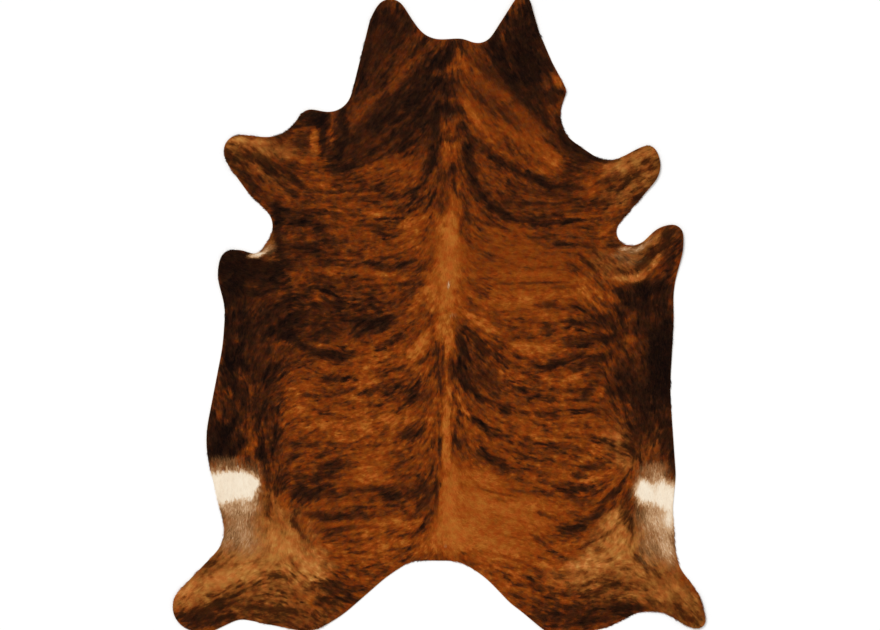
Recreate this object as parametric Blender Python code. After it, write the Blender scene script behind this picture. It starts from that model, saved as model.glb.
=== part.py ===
"""A cattle hide tanned with its hair on, laid out as a floor rug, hair side up.

It is one flat sheet: leather with a short coat that lies down on it. Nothing is sewn to
it. Its cut edge runs in lobes (neck, forelegs, flanks, hind legs) with bays between them.
The neck points to +Y, +X is to the right of someone looking down at the coat, and the
origin is on the floor under the middle of the outline.
"""

import math
from collections import namedtuple

import bmesh
import bpy
import numpy as np
from mathutils.geometry import delaunay_2d_cdt

MM = 0.001

# Driving sizes, in metres.
LEATHER = 0.0024        # thickness of the tanned skin
COAT = 0.0018           # depth of the short hair lying on it
EDGE_STEP = 0.024       # longest step between points of the cut edge
EDGE_TURN = math.radians(18)  # most that the edge turns from one point to the next
SAME_POINT = 0.003      # points of the edge nearer than this are one
SKIN_STEP = 0.050       # spacing of the points inside the outline
EDGE_CLEAR = 0.55       # clear width beside the edge, in steps, before the grid starts
FOLD_CLEAR = 0.45       # clear width beside the rows of a fold, in steps
FOLD_EDGE_CLEAR = 0.35  # clear width between a fold's rows and the edge, in steps
FOLD_ROWS = (-1, -0.5, 0, 0.5, 1)  # where rows of points run along a fold, in half widths
PATH_STEP = 0.004       # spacing of the points that a fold's height is measured from
INSIDE_ONLY = 1         # the filling keeps only the triangles inside the outline
SAME_SPOT = 1e-7        # points of the filling nearer than this are one

# The cut edge, anticlockwise seen from above, in millimetres. Each row is a round that the
# edge bends along, and the edge runs straight from one round to the next. A positive
# radius is a lobe, with its centre inside the hide, and a negative one is a bay.
Round = namedtuple("Round", "name across along radius")
EDGE = [
    Round("right neck tip", 286, 1071, 29),
    Round("neck bay, right", 133, 990, -56),
    Round("neck crest", 68, 880, 71),
    Round("neck bay, left", 5, 1040, -93),
    Round("left neck, inner side", -30, 1060, -76),
    Round("left neck tip", -167, 1030, 56),
    Round("left neck, outer side", -163, 987, 80),
    Round("left shoulder bay", -380, 778, -80),
    Round("left shoulder bump", -440, 664, 44),
    Round("left foreleg bay", -592, 732, -120),
    Round("left foreleg tip", -684, 563, 57),
    Round("left foreleg heel", -632, 568, 108),
    Round("left elbow", -595, 469, 80),
    Round("left armpit", -647, 304, -75),
    Round("left notch", -631, 235, -24),
    Round("left flank, upper side", -690, 160, 66),
    Round("left flank tip", -707, 177, 49),
    Round("left flank", -615, 140, 146),
    Round("left waist", -937, 5, -200),
    Round("left belly bay", -1340, -27, -600),
    Round("left belly", -425, -430, 375),
    Round("left knee bay", -849, -738, -111),
    Round("left hind tip", -832, -1001, 84),
    Round("left hind sole", -805, -1012, 80),
    Round("left hock bay", -675, -1112, -66),
    Round("left thigh", -458, -965, 121),
    Round("left rump", -561, -710, 394),
    Round("tail bay, left side", 78, -1239, -425),
    Round("tail bay, left end", -67, -934, -90),
    Round("tail bay, right end", 39, -955, -110),
    Round("tail bay, right side", -62, -1166, -342),
    Round("right rump", 343, -878, 150),
    Round("right rump dent", 203, -1110, -120),
    Round("right thigh", 415, -1000, 100),
    Round("right thigh heel", 527, -932, 150),
    Round("right hock bay, inner end", 705, -1091, -73),
    Round("right hock bay, outer end", 745, -1097, -78),
    Round("right hind sole", 884, -1007, 70),
    Round("right hind tip", 888, -1049, 28),
    Round("right shin", 666, -1066, 250),
    Round("right knee bay", 919, -823, -100),
    Round("right shank bay", 1040, -770, -230),
    Round("right stifle bay", 1056, -668, -252),
    Round("right stifle", 664, -548, 150),
    Round("right belly bay", 1796, -250, -1000),
    Round("right belly", 607, -12, 200),
    Round("right waist", 1168, 48, -362),
    Round("right flank", 690, 241, 150),
    Round("right flank tip", 800, 273, 40),
    Round("right flank, upper side", 799, 212, 100),
    Round("right notch", 672, 289, -45),
    Round("right armpit", 656, 285, -46),
    Round("right foreleg heel", 667, 513, 95),
    Round("right foreleg tip", 715, 547, 37),
    Round("right foreleg, upper side", 729, 475, 109),
    Round("right foreleg bay", 583, 626, -93),
    Round("right shoulder bay", 532, 686, -114),
    Round("right shoulder bump", 392, 766, 46),
    Round("right neck dent", 463, 900, -80),
    Round("right neck, outer side", 629, 1069, -300),
]

# Long soft folds that stand up out of the flat skin, in millimetres. Each runs from its
# start through its middle to its end, and rises to its height along that line.
Fold = namedtuple("Fold", "name start middle end half_width height")
FOLDS = [
    Fold("backbone", (55, 900), (27, 30), (3, -810), 55, 2.5),
    Fold("right flank roll", (590, 128), (690, 128), (755, 205), 30, 5.0),
    Fold("right armpit roll", (655, 235), (650, 195), (690, 160), 26, 2.5),
    Fold("left shoulder pucker, outer", (-455, 668), (-432, 590), (-395, 495), 26, 4.5),
    Fold("left shoulder pucker, inner", (-362, 690), (-350, 640), (-366, 555), 24, 3.5),
    Fold("left foreleg roll", (-690, 585), (-600, 565), (-500, 530), 36, 2.5),
    Fold("right foreleg roll", (735, 545), (660, 525), (575, 500), 36, 2.5),
    Fold("left hind roll", (-870, -985), (-730, -925), (-560, -850), 55, 3.0),
    Fold("right hind roll", (885, -1030), (790, -960), (650, -860), 50, 3.0),
    Fold("neck wrinkle", (250, 985), (285, 915), (345, 850), 34, 2.0),
]

# Places where the skin lifts off the floor towards its edge, in millimetres: the highest
# point, how far round it the lift reaches, and how high it stands.
Lift = namedtuple("Lift", "name across along reach height")
LIFTS = [
    Lift("left neck tip", -170, 1085, 260, 7),
    Lift("right neck tip", 290, 1100, 270, 9),
    Lift("right shoulder bump", 425, 785, 100, 4),
    Lift("left shoulder bump", -450, 705, 110, 4),
    Lift("left foreleg tip", -735, 560, 230, 6),
    Lift("right foreleg tip", 760, 520, 230, 7),
    Lift("left flank tip", -755, 185, 190, 6),
    Lift("right flank tip", 838, 270, 210, 8),
    Lift("left belly edge", -800, -430, 170, 3),
    Lift("right belly edge", 805, -60, 170, 3),
    Lift("left hind tip", -912, -1010, 250, 5),
    Lift("right hind tip", 912, -1050, 260, 7),
    Lift("left thigh", -460, -1085, 170, 4),
    Lift("right thigh", 415, -1100, 180, 4),
]


def edge_line(rounds):
    """The closed cut edge: an arc on each round, joined by their common tangents."""
    headings = []
    for here, there in zip(rounds, rounds[1:] + rounds[:1]):
        dx = there.across - here.across
        dy = there.along - here.along
        lean = math.asin((there.radius - here.radius) / math.hypot(dx, dy))
        headings.append(math.atan2(dy, dx) - lean)
    points = []
    for this, first, last in zip(rounds, headings[-1:] + headings, headings):
        turn = math.remainder(last - first, math.tau)
        if this.radius > 0 and turn < 0:
            turn += math.tau
        arc = abs(turn * this.radius) * MM
        steps = max(1, math.ceil(arc / EDGE_STEP), math.ceil(abs(turn) / EDGE_TURN))
        for heading in np.linspace(first, first + turn, steps + 1):
            points.append(((this.across + this.radius * math.sin(heading)) * MM,
                           (this.along - this.radius * math.cos(heading)) * MM))
    return cut_runs(np.array(points))


def cut_runs(points):
    """The same closed line, with its straight runs cut into steps."""
    line = []
    for start, end in zip(points, np.roll(points, -1, axis=0)):
        length = np.linalg.norm(end - start)
        if length > SAME_POINT:
            steps = math.ceil(length / EDGE_STEP)
            line += [start + (end - start) * step / steps for step in range(steps)]
    return np.array(line)


def fold_path(fold, spacing):
    """Points along a fold: the parabola through its start, middle and end."""
    start, middle, end = (np.array(point) * MM for point in (fold.start, fold.middle, fold.end))
    pull = 2 * middle - (start + end) / 2
    length = np.linalg.norm(middle - start) + np.linalg.norm(end - middle)
    run = np.linspace(0, 1, max(3, round(length / spacing) + 1))[:, None]
    return start * (1 - run) ** 2 + 2 * pull * run * (1 - run) + end * run ** 2


def gaps_between(points, others):
    """The distance from each point to each of the others."""
    return np.linalg.norm(points[:, None] - others[None], axis=2)


def bell(distance):
    """1 at no distance, falling smoothly to 0 at a distance of 1."""
    return np.cos(np.clip(distance, 0, 1) * math.pi / 2) ** 2


def rise(points):
    """How high the skin's underside stands over the floor at each point."""
    height = np.zeros(len(points))
    for fold in FOLDS:
        path = fold_path(fold, PATH_STEP)
        gaps = gaps_between(points, path)
        along = gaps.argmin(axis=1) / (len(path) - 1)
        crest = np.sqrt(np.sin(along * math.pi))
        height += fold.height * MM * crest * bell(gaps.min(axis=1) / (fold.half_width * MM))
    for lift in LIFTS:
        top = np.array([[lift.across, lift.along]]) * MM
        height += lift.height * MM * bell(gaps_between(points, top)[:, 0] / (lift.reach * MM))
    return height


def fold_points(fold):
    """Rows of points along a fold: its crest, its slopes and its feet."""
    path = fold_path(fold, SKIN_STEP)
    heading = np.gradient(path, axis=0)
    heading /= np.linalg.norm(heading, axis=1)[:, None]
    side = heading[:, ::-1] * (1, -1) * fold.half_width * MM
    return np.concatenate([path + side * part for part in FOLD_ROWS])


def inner_points(edge):
    """Points inside the outline: rows along each fold, and an even triangular grid."""
    folds = np.concatenate([fold_points(fold) for fold in FOLDS])
    folds = folds[gaps_between(folds, edge).min(axis=1) > SKIN_STEP * FOLD_EDGE_CLEAR]
    low, high = edge.min(axis=0), edge.max(axis=0)
    lanes = np.arange(low[1], high[1], SKIN_STEP * math.sqrt(3) / 2)
    grid = np.array([(x + SKIN_STEP / 2 * (lane % 2), y)
                     for lane, y in enumerate(lanes)
                     for x in np.arange(low[0], high[0], SKIN_STEP)])
    clear = gaps_between(grid, edge).min(axis=1) > SKIN_STEP * EDGE_CLEAR
    clear &= gaps_between(grid, folds).min(axis=1) > SKIN_STEP * FOLD_CLEAR
    return np.concatenate([folds, grid[clear]])


def hide_mesh():
    """The sheet: its outline filled with triangles and raised to the skin's thickness."""
    edge = edge_line(EDGE)
    rim = [(index, (index + 1) % len(edge)) for index in range(len(edge))]
    points = np.concatenate([edge, inner_points(edge)])
    spots, _, faces, _, _, _ = delaunay_2d_cdt(
        [tuple(point) for point in points], rim, [], INSIDE_ONLY, SAME_SPOT)
    flat = np.array([tuple(spot) for spot in spots])
    middle = (edge.min(axis=0) + edge.max(axis=0)) / 2
    mesh = bmesh.new()
    underside = [mesh.verts.new((x, y, z)) for (x, y), z in zip(flat - middle, rise(flat))]
    for corners in faces:
        mesh.faces.new([underside[corner] for corner in corners])
    raised = bmesh.ops.extrude_face_region(mesh, geom=mesh.faces[:])
    top = [item for item in raised["geom"] if isinstance(item, bmesh.types.BMVert)]
    bmesh.ops.translate(mesh, verts=top, vec=(0, 0, LEATHER + COAT))
    bmesh.ops.recalc_face_normals(mesh, faces=mesh.faces)
    bmesh.ops.triangulate(mesh, faces=mesh.faces)
    data = bpy.data.meshes.new("hide")
    mesh.to_mesh(data)
    mesh.free()
    return data


def coat_material():
    """Short brown hair, matt."""
    material = bpy.data.materials.new("brindle coat")
    material.use_nodes = True
    shader = material.node_tree.nodes["Principled BSDF"]
    shader.inputs["Base Color"].default_value = (0.135, 0.037, 0.010, 1.0)
    shader.inputs["Roughness"].default_value = 0.62
    shader.inputs["Metallic"].default_value = 0.0
    return material


def main():
    for old in list(bpy.data.objects):
        bpy.data.objects.remove(old, do_unlink=True)
    hide = bpy.data.objects.new("hide", hide_mesh())
    hide.data.materials.append(coat_material())
    hide.data.shade_smooth()
    hide.data.set_sharp_from_angle(angle=math.radians(40))
    bpy.context.scene.collection.objects.link(hide)


main()
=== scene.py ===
# A cattle hide tanned with its hair on, laid out as a floor rug, hair side up. The skin is
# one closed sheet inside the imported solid's outline, and the coat is short locks lying on it.
import math

import bpy
import numpy as np
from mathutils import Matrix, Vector
from mathutils.geometry import delaunay_2d_cdt


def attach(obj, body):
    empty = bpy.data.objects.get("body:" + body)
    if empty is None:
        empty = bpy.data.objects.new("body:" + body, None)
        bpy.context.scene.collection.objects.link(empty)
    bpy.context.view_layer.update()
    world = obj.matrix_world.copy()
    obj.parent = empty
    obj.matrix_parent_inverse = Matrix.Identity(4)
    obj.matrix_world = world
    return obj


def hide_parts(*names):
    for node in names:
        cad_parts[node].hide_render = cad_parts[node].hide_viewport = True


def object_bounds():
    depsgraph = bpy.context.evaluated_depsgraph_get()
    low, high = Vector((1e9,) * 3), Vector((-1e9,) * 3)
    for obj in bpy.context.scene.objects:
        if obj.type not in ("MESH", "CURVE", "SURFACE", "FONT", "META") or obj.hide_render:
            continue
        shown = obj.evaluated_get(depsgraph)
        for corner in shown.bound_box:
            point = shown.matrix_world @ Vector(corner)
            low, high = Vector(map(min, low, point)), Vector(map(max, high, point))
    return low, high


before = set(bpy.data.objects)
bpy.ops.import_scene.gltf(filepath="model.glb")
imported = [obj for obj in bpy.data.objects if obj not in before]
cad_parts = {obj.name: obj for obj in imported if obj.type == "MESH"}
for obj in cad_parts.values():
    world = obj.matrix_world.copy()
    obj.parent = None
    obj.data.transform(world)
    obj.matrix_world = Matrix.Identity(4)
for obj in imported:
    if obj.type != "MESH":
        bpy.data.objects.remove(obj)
solidLow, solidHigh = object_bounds()
mm = 0.001

sheet = {
    "thickness": 2.4 * mm,  # of the tanned skin
    "inset": 2.5 * mm,  # how far the skin's cut edge stays inside the outline of the hair
    "edgeStep": 7.0 * mm,  # between points of the cut edge
    "outlineEase": 6.0 * mm,  # how far the solid's corners are eased
    "edgeEase": 7.0 * mm,  # the same for the cut edge
    "edgeRound": 0.5 * mm,  # how far the middle of the cut edge stands out
    "skinStep": 11.5 * mm,  # between points inside the cut edge
    "skinClear": 0.62,  # least gap between them and the edge, in steps
    "skinStray": 0.12,  # how far such a point strays, in steps
    "fieldStep": 6.0 * mm,  # of the lattice that holds height, clearance and hair direction
    "fieldMargin": 40 * mm,  # how far the lattice goes past the solid
    "mapMargin": 20 * mm,  # bare rim of the skin's map
    "samePoint": 1e-7,  # points of the filling nearer than this are one, in metres
    "seed": 3,
    "flatSize": (1.83, 2.20),
    "flatArea": 2.78,
}

# Soft folds of the skin, in millimetres: start, middle and end of each, its half width and
# its height. The first ten are the solid's, the rest are finer ones.
folds = [
    ((55, 900), (27, 30), (3, -810), 55, 2.5),  # backbone
    ((590, 128), (690, 128), (755, 205), 30, 5.0),  # right flank roll
    ((655, 235), (650, 195), (690, 160), 26, 2.5),  # right armpit roll
    ((-455, 668), (-432, 590), (-395, 495), 26, 4.5),  # left shoulder pucker, outer
    ((-362, 690), (-350, 640), (-366, 555), 24, 3.5),  # left shoulder pucker, inner
    ((-690, 585), (-600, 565), (-500, 530), 36, 2.5),  # left foreleg roll
    ((735, 545), (660, 525), (575, 500), 36, 2.5),  # right foreleg roll
    ((-870, -985), (-730, -925), (-560, -850), 55, 3.0),  # left hind roll
    ((885, -1030), (790, -960), (650, -860), 50, 3.0),  # right hind roll
    ((250, 985), (285, 915), (345, 850), 34, 2.0),  # neck wrinkle
    ((400, 810), (415, 780), (425, 755), 16, 2.2),  # right shoulder bump
    ((-505, 655), (-450, 690), (-395, 672), 18, 2.0),  # left shoulder bump
    ((-700, -150), (-665, -210), (-635, -260), 14, 1.2),  # left flank crease, upper
    ((-745, -225), (-700, -290), (-655, -365), 14, 1.4),  # left flank crease, lower
    ((765, -60), (730, -130), (700, -205), 16, 1.2),  # right flank crease
    ((500, 185), (540, 130), (600, 60), 14, 1.2),  # right flank crease, by the roll
    ((-230, 1010), (-205, 960), (-195, 900), 22, 1.2),  # left neck wrinkle
    ((340, 640), (370, 700), (365, 760), 18, 1.2),  # right shoulder wrinkle
]

# Places where the skin lifts off the floor, in millimetres: the highest point, how far
# round it the lift reaches, and how high it stands.
lifts = [
    (-170, 1085, 260, 7),  # left neck tip
    (290, 1100, 270, 9),  # right neck tip
    (425, 785, 100, 4),  # right shoulder bump
    (-450, 705, 110, 4),  # left shoulder bump
    (-735, 560, 230, 6),  # left foreleg tip
    (760, 520, 230, 7),  # right foreleg tip
    (-755, 185, 190, 6),  # left flank tip
    (838, 270, 210, 8),  # right flank tip
    (-800, -430, 170, 3),  # left belly edge
    (805, -60, 170, 3),  # right belly edge
    (-912, -1010, 250, 5),  # left hind tip
    (912, -1050, 260, 7),  # right hind tip
    (-460, -1085, 170, 4),  # left thigh
    (415, -1100, 180, 4),  # right thigh
]

# How the hair lies. Each row is a section across the hide, in millimetres from its middle,
# and gives how far the hair falls below level as it runs outwards, in degrees, at the
# distances from the spine in flowReach: the left side first, then the right side. A lie
# and its opposite are the same line, so 100 and -80 match.
flowReach = [0, 50, 120, 220, 350, 480, 600, 720, 850]
flowRows = [
    (1050, (90, 80, 75, 74, 72, 70, 70, 70, 70), (90, 85, 82, 82, 80, 80, 80, 80, 80)),
    (900, (90, 60, 52, 58, 75, 75, 75, 75, 75), (90, 60, 60, 68, 62, 60, 60, 60, 60)),
    (750, (90, 65, 47, 44, 68, 40, 20, 10, 0), (90, 56, 50, 54, 66, 60, 60, 60, 60)),
    (600, (90, 80, 42, 34, 55, 5, -26, -28, -25), (90, 60, 50, 46, 52, 30, -20, -32, -35)),
    (450, (90, 72, 40, 15, 5, -8, -34, -38, -40), (90, 62, 45, 34, 13, -14, -26, -36, -38)),
    (300, (90, 68, 30, 5, -1, -4, 30, 10, 0), (90, 62, 32, 10, -1, 5, -15, -40, -50)),
    (150, (90, 60, 25, 6, -1, 4, 0, -25, -30), (90, 45, 16, 4, -3, 42, 55, -35, -70)),
    (0, (90, 62, 33, 12, 6, 6, 45, 85, 95), (90, 38, 18, 6, 0, 28, 68, 85, 88)),
    (-150, (90, 68, 40, 18, 9, -2, 62, 104, 105), (90, 72, 50, 26, -6, -17, 60, 90, 92)),
    (-300, (90, 70, 38, 15, 5, 8, 62, 106, 100), (90, 75, 42, 19, 3, 0, 70, 90, 93)),
    (-450, (90, 68, 28, 12, 8, 13, 85, 98, 92), (90, 71, 34, 17, 10, 3, 25, 106, 106)),
    (-600, (90, 62, 24, 13, 10, 28, 103, 84, 82), (90, 62, 26, 12, 13, 0, -52, -90, -70)),
    (-750, (90, 50, 24, 12, 12, 85, 92, 68, 60), (90, 45, 20, 14, 20, -2, -60, 75, 65)),
    (-900, (90, 45, 20, 8, -25, -42, 20, 28, 35), (90, 40, 24, 18, 10, -7, 0, 42, 54)),
    (-1050, (90, 45, 20, 0, -20, -20, -8, 14, 28), (90, 40, 24, 24, 18, 3, -4, 26, 54)),
]
spineLine = [(-1100, 0), (-800, 3), (-400, 18), (100, 30), (600, 36), (900, 52), (1100, 62)]


def smoothStep(low, high, value):
    # 0 below low, 1 above high, and an even curve between them.
    share = np.clip((value - low) / (high - low), 0, 1)
    return share * share * (3 - 2 * share)


def bell(distance):
    # 1 at no distance, falling smoothly to 0 at a distance of 1.
    return np.cos(np.clip(distance, 0, 1) * math.pi / 2) ** 2


chunk = 8000  # points measured at a time, to spare memory


def chunkedGaps(points, others):
    # The distance from each point to the nearest of the others, and which one that is.
    gaps = np.empty(len(points))
    nearest = np.empty(len(points), int)
    for start in range(0, len(points), chunk):
        part = slice(start, start + chunk)
        away = points[part, None].astype(np.float32) - others[None].astype(np.float32)
        square = (away**2).sum(axis=2)
        nearest[part] = square.argmin(axis=1)
        gaps[part] = np.sqrt(square.min(axis=1))
    return gaps, nearest


wall = {
    "slope": 0.3,  # a face is part of the wall when its normal rises less than this
    "same": 0.05,  # corners nearer than this are one, in millimetres
    "foot": 1.0 * mm,  # a corner is at the foot of the wall below this height
}


def solidOutline(node):
    # The wall of the solid as a closed line, anticlockwise from above: each of its triangles
    # that has two corners at the foot of the wall gives one step of the line.
    mesh = node.data
    spots = np.empty(len(mesh.vertices) * 3, np.float32)
    mesh.vertices.foreach_get("co", spots)
    spots = spots.reshape(-1, 3).astype(float)
    corners = np.empty(len(mesh.loops), np.int32)
    mesh.loops.foreach_get("vertex_index", corners)
    corners = corners.reshape(-1, 3)
    sides = np.cross(spots[corners[:, 1]] - spots[corners[:, 0]],
                     spots[corners[:, 2]] - spots[corners[:, 0]])
    steep = np.abs(sides[:, 2]) < wall["slope"] * np.linalg.norm(sides, axis=1)
    places = np.round(spots[:, :2] / (wall["same"] * mm))
    keys, which = np.unique(places, axis=0, return_inverse=True)
    which = which.reshape(-1)
    foot = np.full(len(keys), np.inf)
    np.minimum.at(foot, which, spots[:, 2])
    low = spots[:, 2] < foot[which] + wall["foot"]
    steps = {}
    for one, other in ((0, 1), (1, 2), (2, 0)):
        start, end = corners[steep, one], corners[steep, other]
        on = low[start] & low[end] & (which[start] != which[end])
        steps.update(zip(which[start[on]].tolist(), which[end[on]].tolist()))
    order = [next(iter(steps))]
    while steps[order[-1]] != order[0]:
        order.append(steps[order[-1]])
    return keys[order] * wall["same"] * mm


def evenLine(line, step, ease):
    # The closed line again with even steps, its corners eased over the given distance.
    closed = np.vstack([line, line[:1]])
    run = np.concatenate([[0], np.cumsum(np.linalg.norm(np.diff(closed, axis=0), axis=1))])
    count = round(run[-1] / step)
    at = np.arange(count) * run[-1] / count
    curve = np.interp(at, run, closed[:, 0]) + 1j * np.interp(at, run, closed[:, 1])
    waves = np.fft.fftfreq(count, run[-1] / count)
    curve = np.fft.ifft(np.fft.fft(curve) * np.exp(-2 * (math.pi * waves * ease) ** 2))
    return np.stack([curve.real, curve.imag], axis=1)


def outward(line):
    # The direction that points out of a closed anticlockwise line at each of its points.
    along = np.roll(line, -1, axis=0) - np.roll(line, 1, axis=0)
    along /= np.linalg.norm(along, axis=1)[:, None]
    return np.stack([along[:, 1], -along[:, 0]], axis=1)


solidLine = solidOutline(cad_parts["hide"])
outline = evenLine(solidLine, sheet["edgeStep"] / 2, sheet["outlineEase"])
outlineOut = outward(outline)
print("outline:", len(outline), "points")

foldStep = 6  # between points along a fold, in millimetres
foldReach = 1.1  # how far a fold and its bell may reach from its middle, in metres


def parabola(start, middle, end):
    # Points along the parabola through three points, in metres.
    start, middle, end = (np.array(point, float) * mm for point in (start, middle, end))
    pull = 2 * middle - (start + end) / 2
    length = np.linalg.norm(middle - start) + np.linalg.norm(end - middle)
    run = np.linspace(0, 1, max(5, round(length / (foldStep * mm))))[:, None]
    return start * (1 - run) ** 2 + 2 * pull * run * (1 - run) + end * run**2


def riseAt(points):
    # How high the skin's underside stands over the floor: each fold is a bell across its
    # line, and each lift a bell round its point.
    height = np.zeros(len(points))
    for start, middle, end, halfWidth, tall in folds:
        path = parabola(start, middle, end)
        near = np.linalg.norm(points - path.mean(axis=0), axis=1) < foldReach
        gaps, nearest = chunkedGaps(points[near], path)
        along = nearest / (len(path) - 1)
        crest = np.sqrt(np.sin(along * math.pi))
        height[near] += tall * mm * crest * bell(gaps / (halfWidth * mm))
    for across, along, reach, tall in lifts:
        gaps = np.hypot(points[:, 0] - across * mm, points[:, 1] - along * mm)
        height += tall * mm * bell(gaps / (reach * mm))
    return height


class Lattice:
    # Values kept on an even lattice over the hide and read between its points.
    def __init__(self):
        self.step = sheet["fieldStep"]
        self.low = np.array([solidLow.x, solidLow.y]) - sheet["fieldMargin"]
        size = np.array([solidHigh.x, solidHigh.y]) + sheet["fieldMargin"] - self.low
        self.shape = tuple(np.ceil(size / self.step).astype(int) + 1)
        across, along = np.meshgrid(*(np.arange(n) for n in self.shape), indexing="ij")
        self.points = self.low + np.stack([across.ravel(), along.ravel()], axis=1) * self.step

    def read(self, values, points):
        # The values at any points, blended between the four that stand round each.
        place = (points - self.low) / self.step
        place = np.clip(place, 0, np.array(self.shape) - 1.001)
        cell = place.astype(int)
        u, v = (place - cell).T
        first = cell[:, 0] * self.shape[1] + cell[:, 1]
        if values.ndim > 1:
            u, v = u[:, None], v[:, None]
        near = values[first] * (1 - v) + values[first + 1] * v
        far = values[first + self.shape[1]] * (1 - v) + values[first + self.shape[1] + 1] * v
        return near * (1 - u) + far * u


lattice = Lattice()


class Noise:
    # Smooth random values: a wrapped table of random numbers read between its points.
    size = 256
    gain = 1.35  # brings their spread back to about 1

    def __init__(self, cell, seed):
        self.cell = cell
        draws = np.random.default_rng(seed).normal(size=(self.size, self.size))
        self.table = draws.ravel()

    def at(self, points):
        place = points / self.cell + self.size * 4  # keeps the places above 0
        cell = np.floor(place).astype(int)
        share = place - cell
        share = share * share * (3 - 2 * share)
        u, v = share.T
        i0, j0 = (cell % self.size).T
        i1, j1 = ((cell + 1) % self.size).T
        low = self.table[i0 * self.size + j0] * (1 - v) + self.table[i0 * self.size + j1] * v
        high = self.table[i1 * self.size + j0] * (1 - v) + self.table[i1 * self.size + j1] * v
        return (low * (1 - u) + high * u) * self.gain


def spineAt(along):
    # Where the spine runs, across the hide.
    rows = np.array(spineLine) * mm
    return np.interp(along, rows[:, 0], rows[:, 1])


lie = {
    "bend": 6.0,  # degrees that the hair bends at random
    "wide": 0.7,  # share of the wide bends
    "fine": 0.5,  # share of the fine ones
    "straight": 10 * mm,  # it doesn't bend nearer than this to the spine
    "free": 90 * mm,  # and bends in full from here
}
curlNoise = Noise(70 * mm, 11)
ruffleNoise = Noise(24 * mm, 12)
# Where the hair is curlier than elsewhere, in millimetres: place, reach, and degrees added.
curls = [(-400, -50, 260, 18), (-600, -260, 220, 10), (560, -60, 200, 12), (-600, -720, 200, 12)]


def flowOn(points):
    # The direction that the hair points in, from root to tip, as a unit vector: the table's
    # lines blend as doubled angles, so that opposite ones agree, and bend a little at random.
    away = points[:, 0] - spineAt(points[:, 1])
    reach = np.array(flowReach) * mm
    blend = np.zeros(len(points), complex)
    step = (flowRows[0][0] - flowRows[1][0]) * mm
    for level, left, right in flowRows:
        share = np.clip(1 - np.abs(points[:, 1] - level * mm) / step, 1e-6, 1)
        for fall, on in ((left, away < 0), (right, away >= 0)):
            turn = np.exp(2j * np.radians(fall))
            line = np.interp(np.abs(away), reach, turn.real)
            line = line + 1j * np.interp(np.abs(away), reach, turn.imag)
            blend += np.where(on, share * line, 0)
    bend = lie["bend"]
    for across, along, size, more in curls:
        gaps = np.hypot(points[:, 0] - across * mm, points[:, 1] - along * mm)
        bend = bend + more * bell(gaps / (size * mm))
    bend = bend * smoothStep(lie["straight"], lie["free"], np.abs(away))
    stray = bend * (lie["wide"] * curlNoise.at(points) + lie["fine"] * ruffleNoise.at(points))
    fall = np.angle(blend) / 2 + np.radians(stray)
    side = np.where(away < 0, -1, 1)
    flow = np.stack([side * np.cos(fall), -np.sin(fall)], axis=1)
    uphill = 0.5 * side * flow[:, 0] - flow[:, 1] < 0
    return np.where(uphill[:, None], -flow, flow)


flowField = flowOn(lattice.points)
riseField = riseAt(lattice.points)
edgeGap, edgeNear = chunkedGaps(lattice.points, outline)
edgeSide = ((outline[edgeNear] - lattice.points) * outlineOut[edgeNear]).sum(axis=1)
clearField = np.where(edgeSide > 0, edgeGap, -edgeGap)
print("fields:", len(lattice.points), "lattice points")


def flowAt(points):
    # The direction of the hair at any points, as unit vectors.
    flow = lattice.read(flowField, points)
    return flow / np.maximum(np.linalg.norm(flow, axis=1), 1e-6)[:, None]


def riseOf(points):
    # How high the skin's underside stands there.
    return lattice.read(riseField, points)


def clearOf(points):
    # How far inside the outline the points are, below 0 outside it.
    return lattice.read(clearField, points)


# The brindle: random values drawn out along the hair.
brindle = {
    # Size of the grain and how far it is drawn out either way, in millimetres, and its weight.
    "layers": [
        (5.0, 5, 0.42), (6.5, 11, 0.52), (11.0, 19, 0.58), (22.0, 34, 0.50), (60.0, 50, 0.35),
    ],
    "firstSeed": 30,
    "steps": 1.3,  # of the walk along the hair, for each width of the grain
    "darker": 0.20,  # how much stronger dark streaks are than bright ones
}


def streaksAt(points):
    # Each value is the mean of the noise met on a walk along the hair, both ways. Dark
    # streaks are then made stronger than bright ones.
    total = np.zeros(len(points))
    for seed, (grain, reach, weight) in enumerate(brindle["layers"], brindle["firstSeed"]):
        noise = Noise(grain * mm, seed)
        steps = max(3, math.ceil(reach / grain * brindle["steps"]))
        mean = noise.at(points)
        for sense in (-1, 1):
            here = points.copy()
            heading = sense * flowAt(here)
            for _ in range(steps):
                here += heading * (reach / steps * mm)
                mean += noise.at(here)
                flow = flowAt(here)
                back = (flow * heading).sum(axis=1) < 0
                heading = np.where(back[:, None], -flow, flow)
        mean -= mean.mean()
        total += weight * mean / mean.std()
    return total - brindle["darker"] * (total**2 - 1)


# The mottle: even grain that isn't drawn out.
mottle = {
    # Size in millimetres, seed, and how much tone it adds.
    "layers": [(4.5, 61, 0.060), (9.0, 62, 0.055), (18.0, 65, 0.040)],
    "plain": 1.15,  # how much of it a plain shade of 1 takes away
    "least": 0.15,  # share of it that stays on the plainest coat
    "full": 0.42,  # tone from which it shows in full
    "dark": 0.35,  # share of it that stays on black
    "roots": 0.7,  # share of it on the roots
}


def mottleAt(points):
    # The sum of the layers, less where the coat is plain.
    grain = sum(amount * Noise(size * mm, seed).at(points)
                for size, seed, amount in mottle["layers"])
    plain = shadeAt(points, plainShades)
    return grain * np.clip(1 - mottle["plain"] * plain, mottle["least"], 1)


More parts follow.
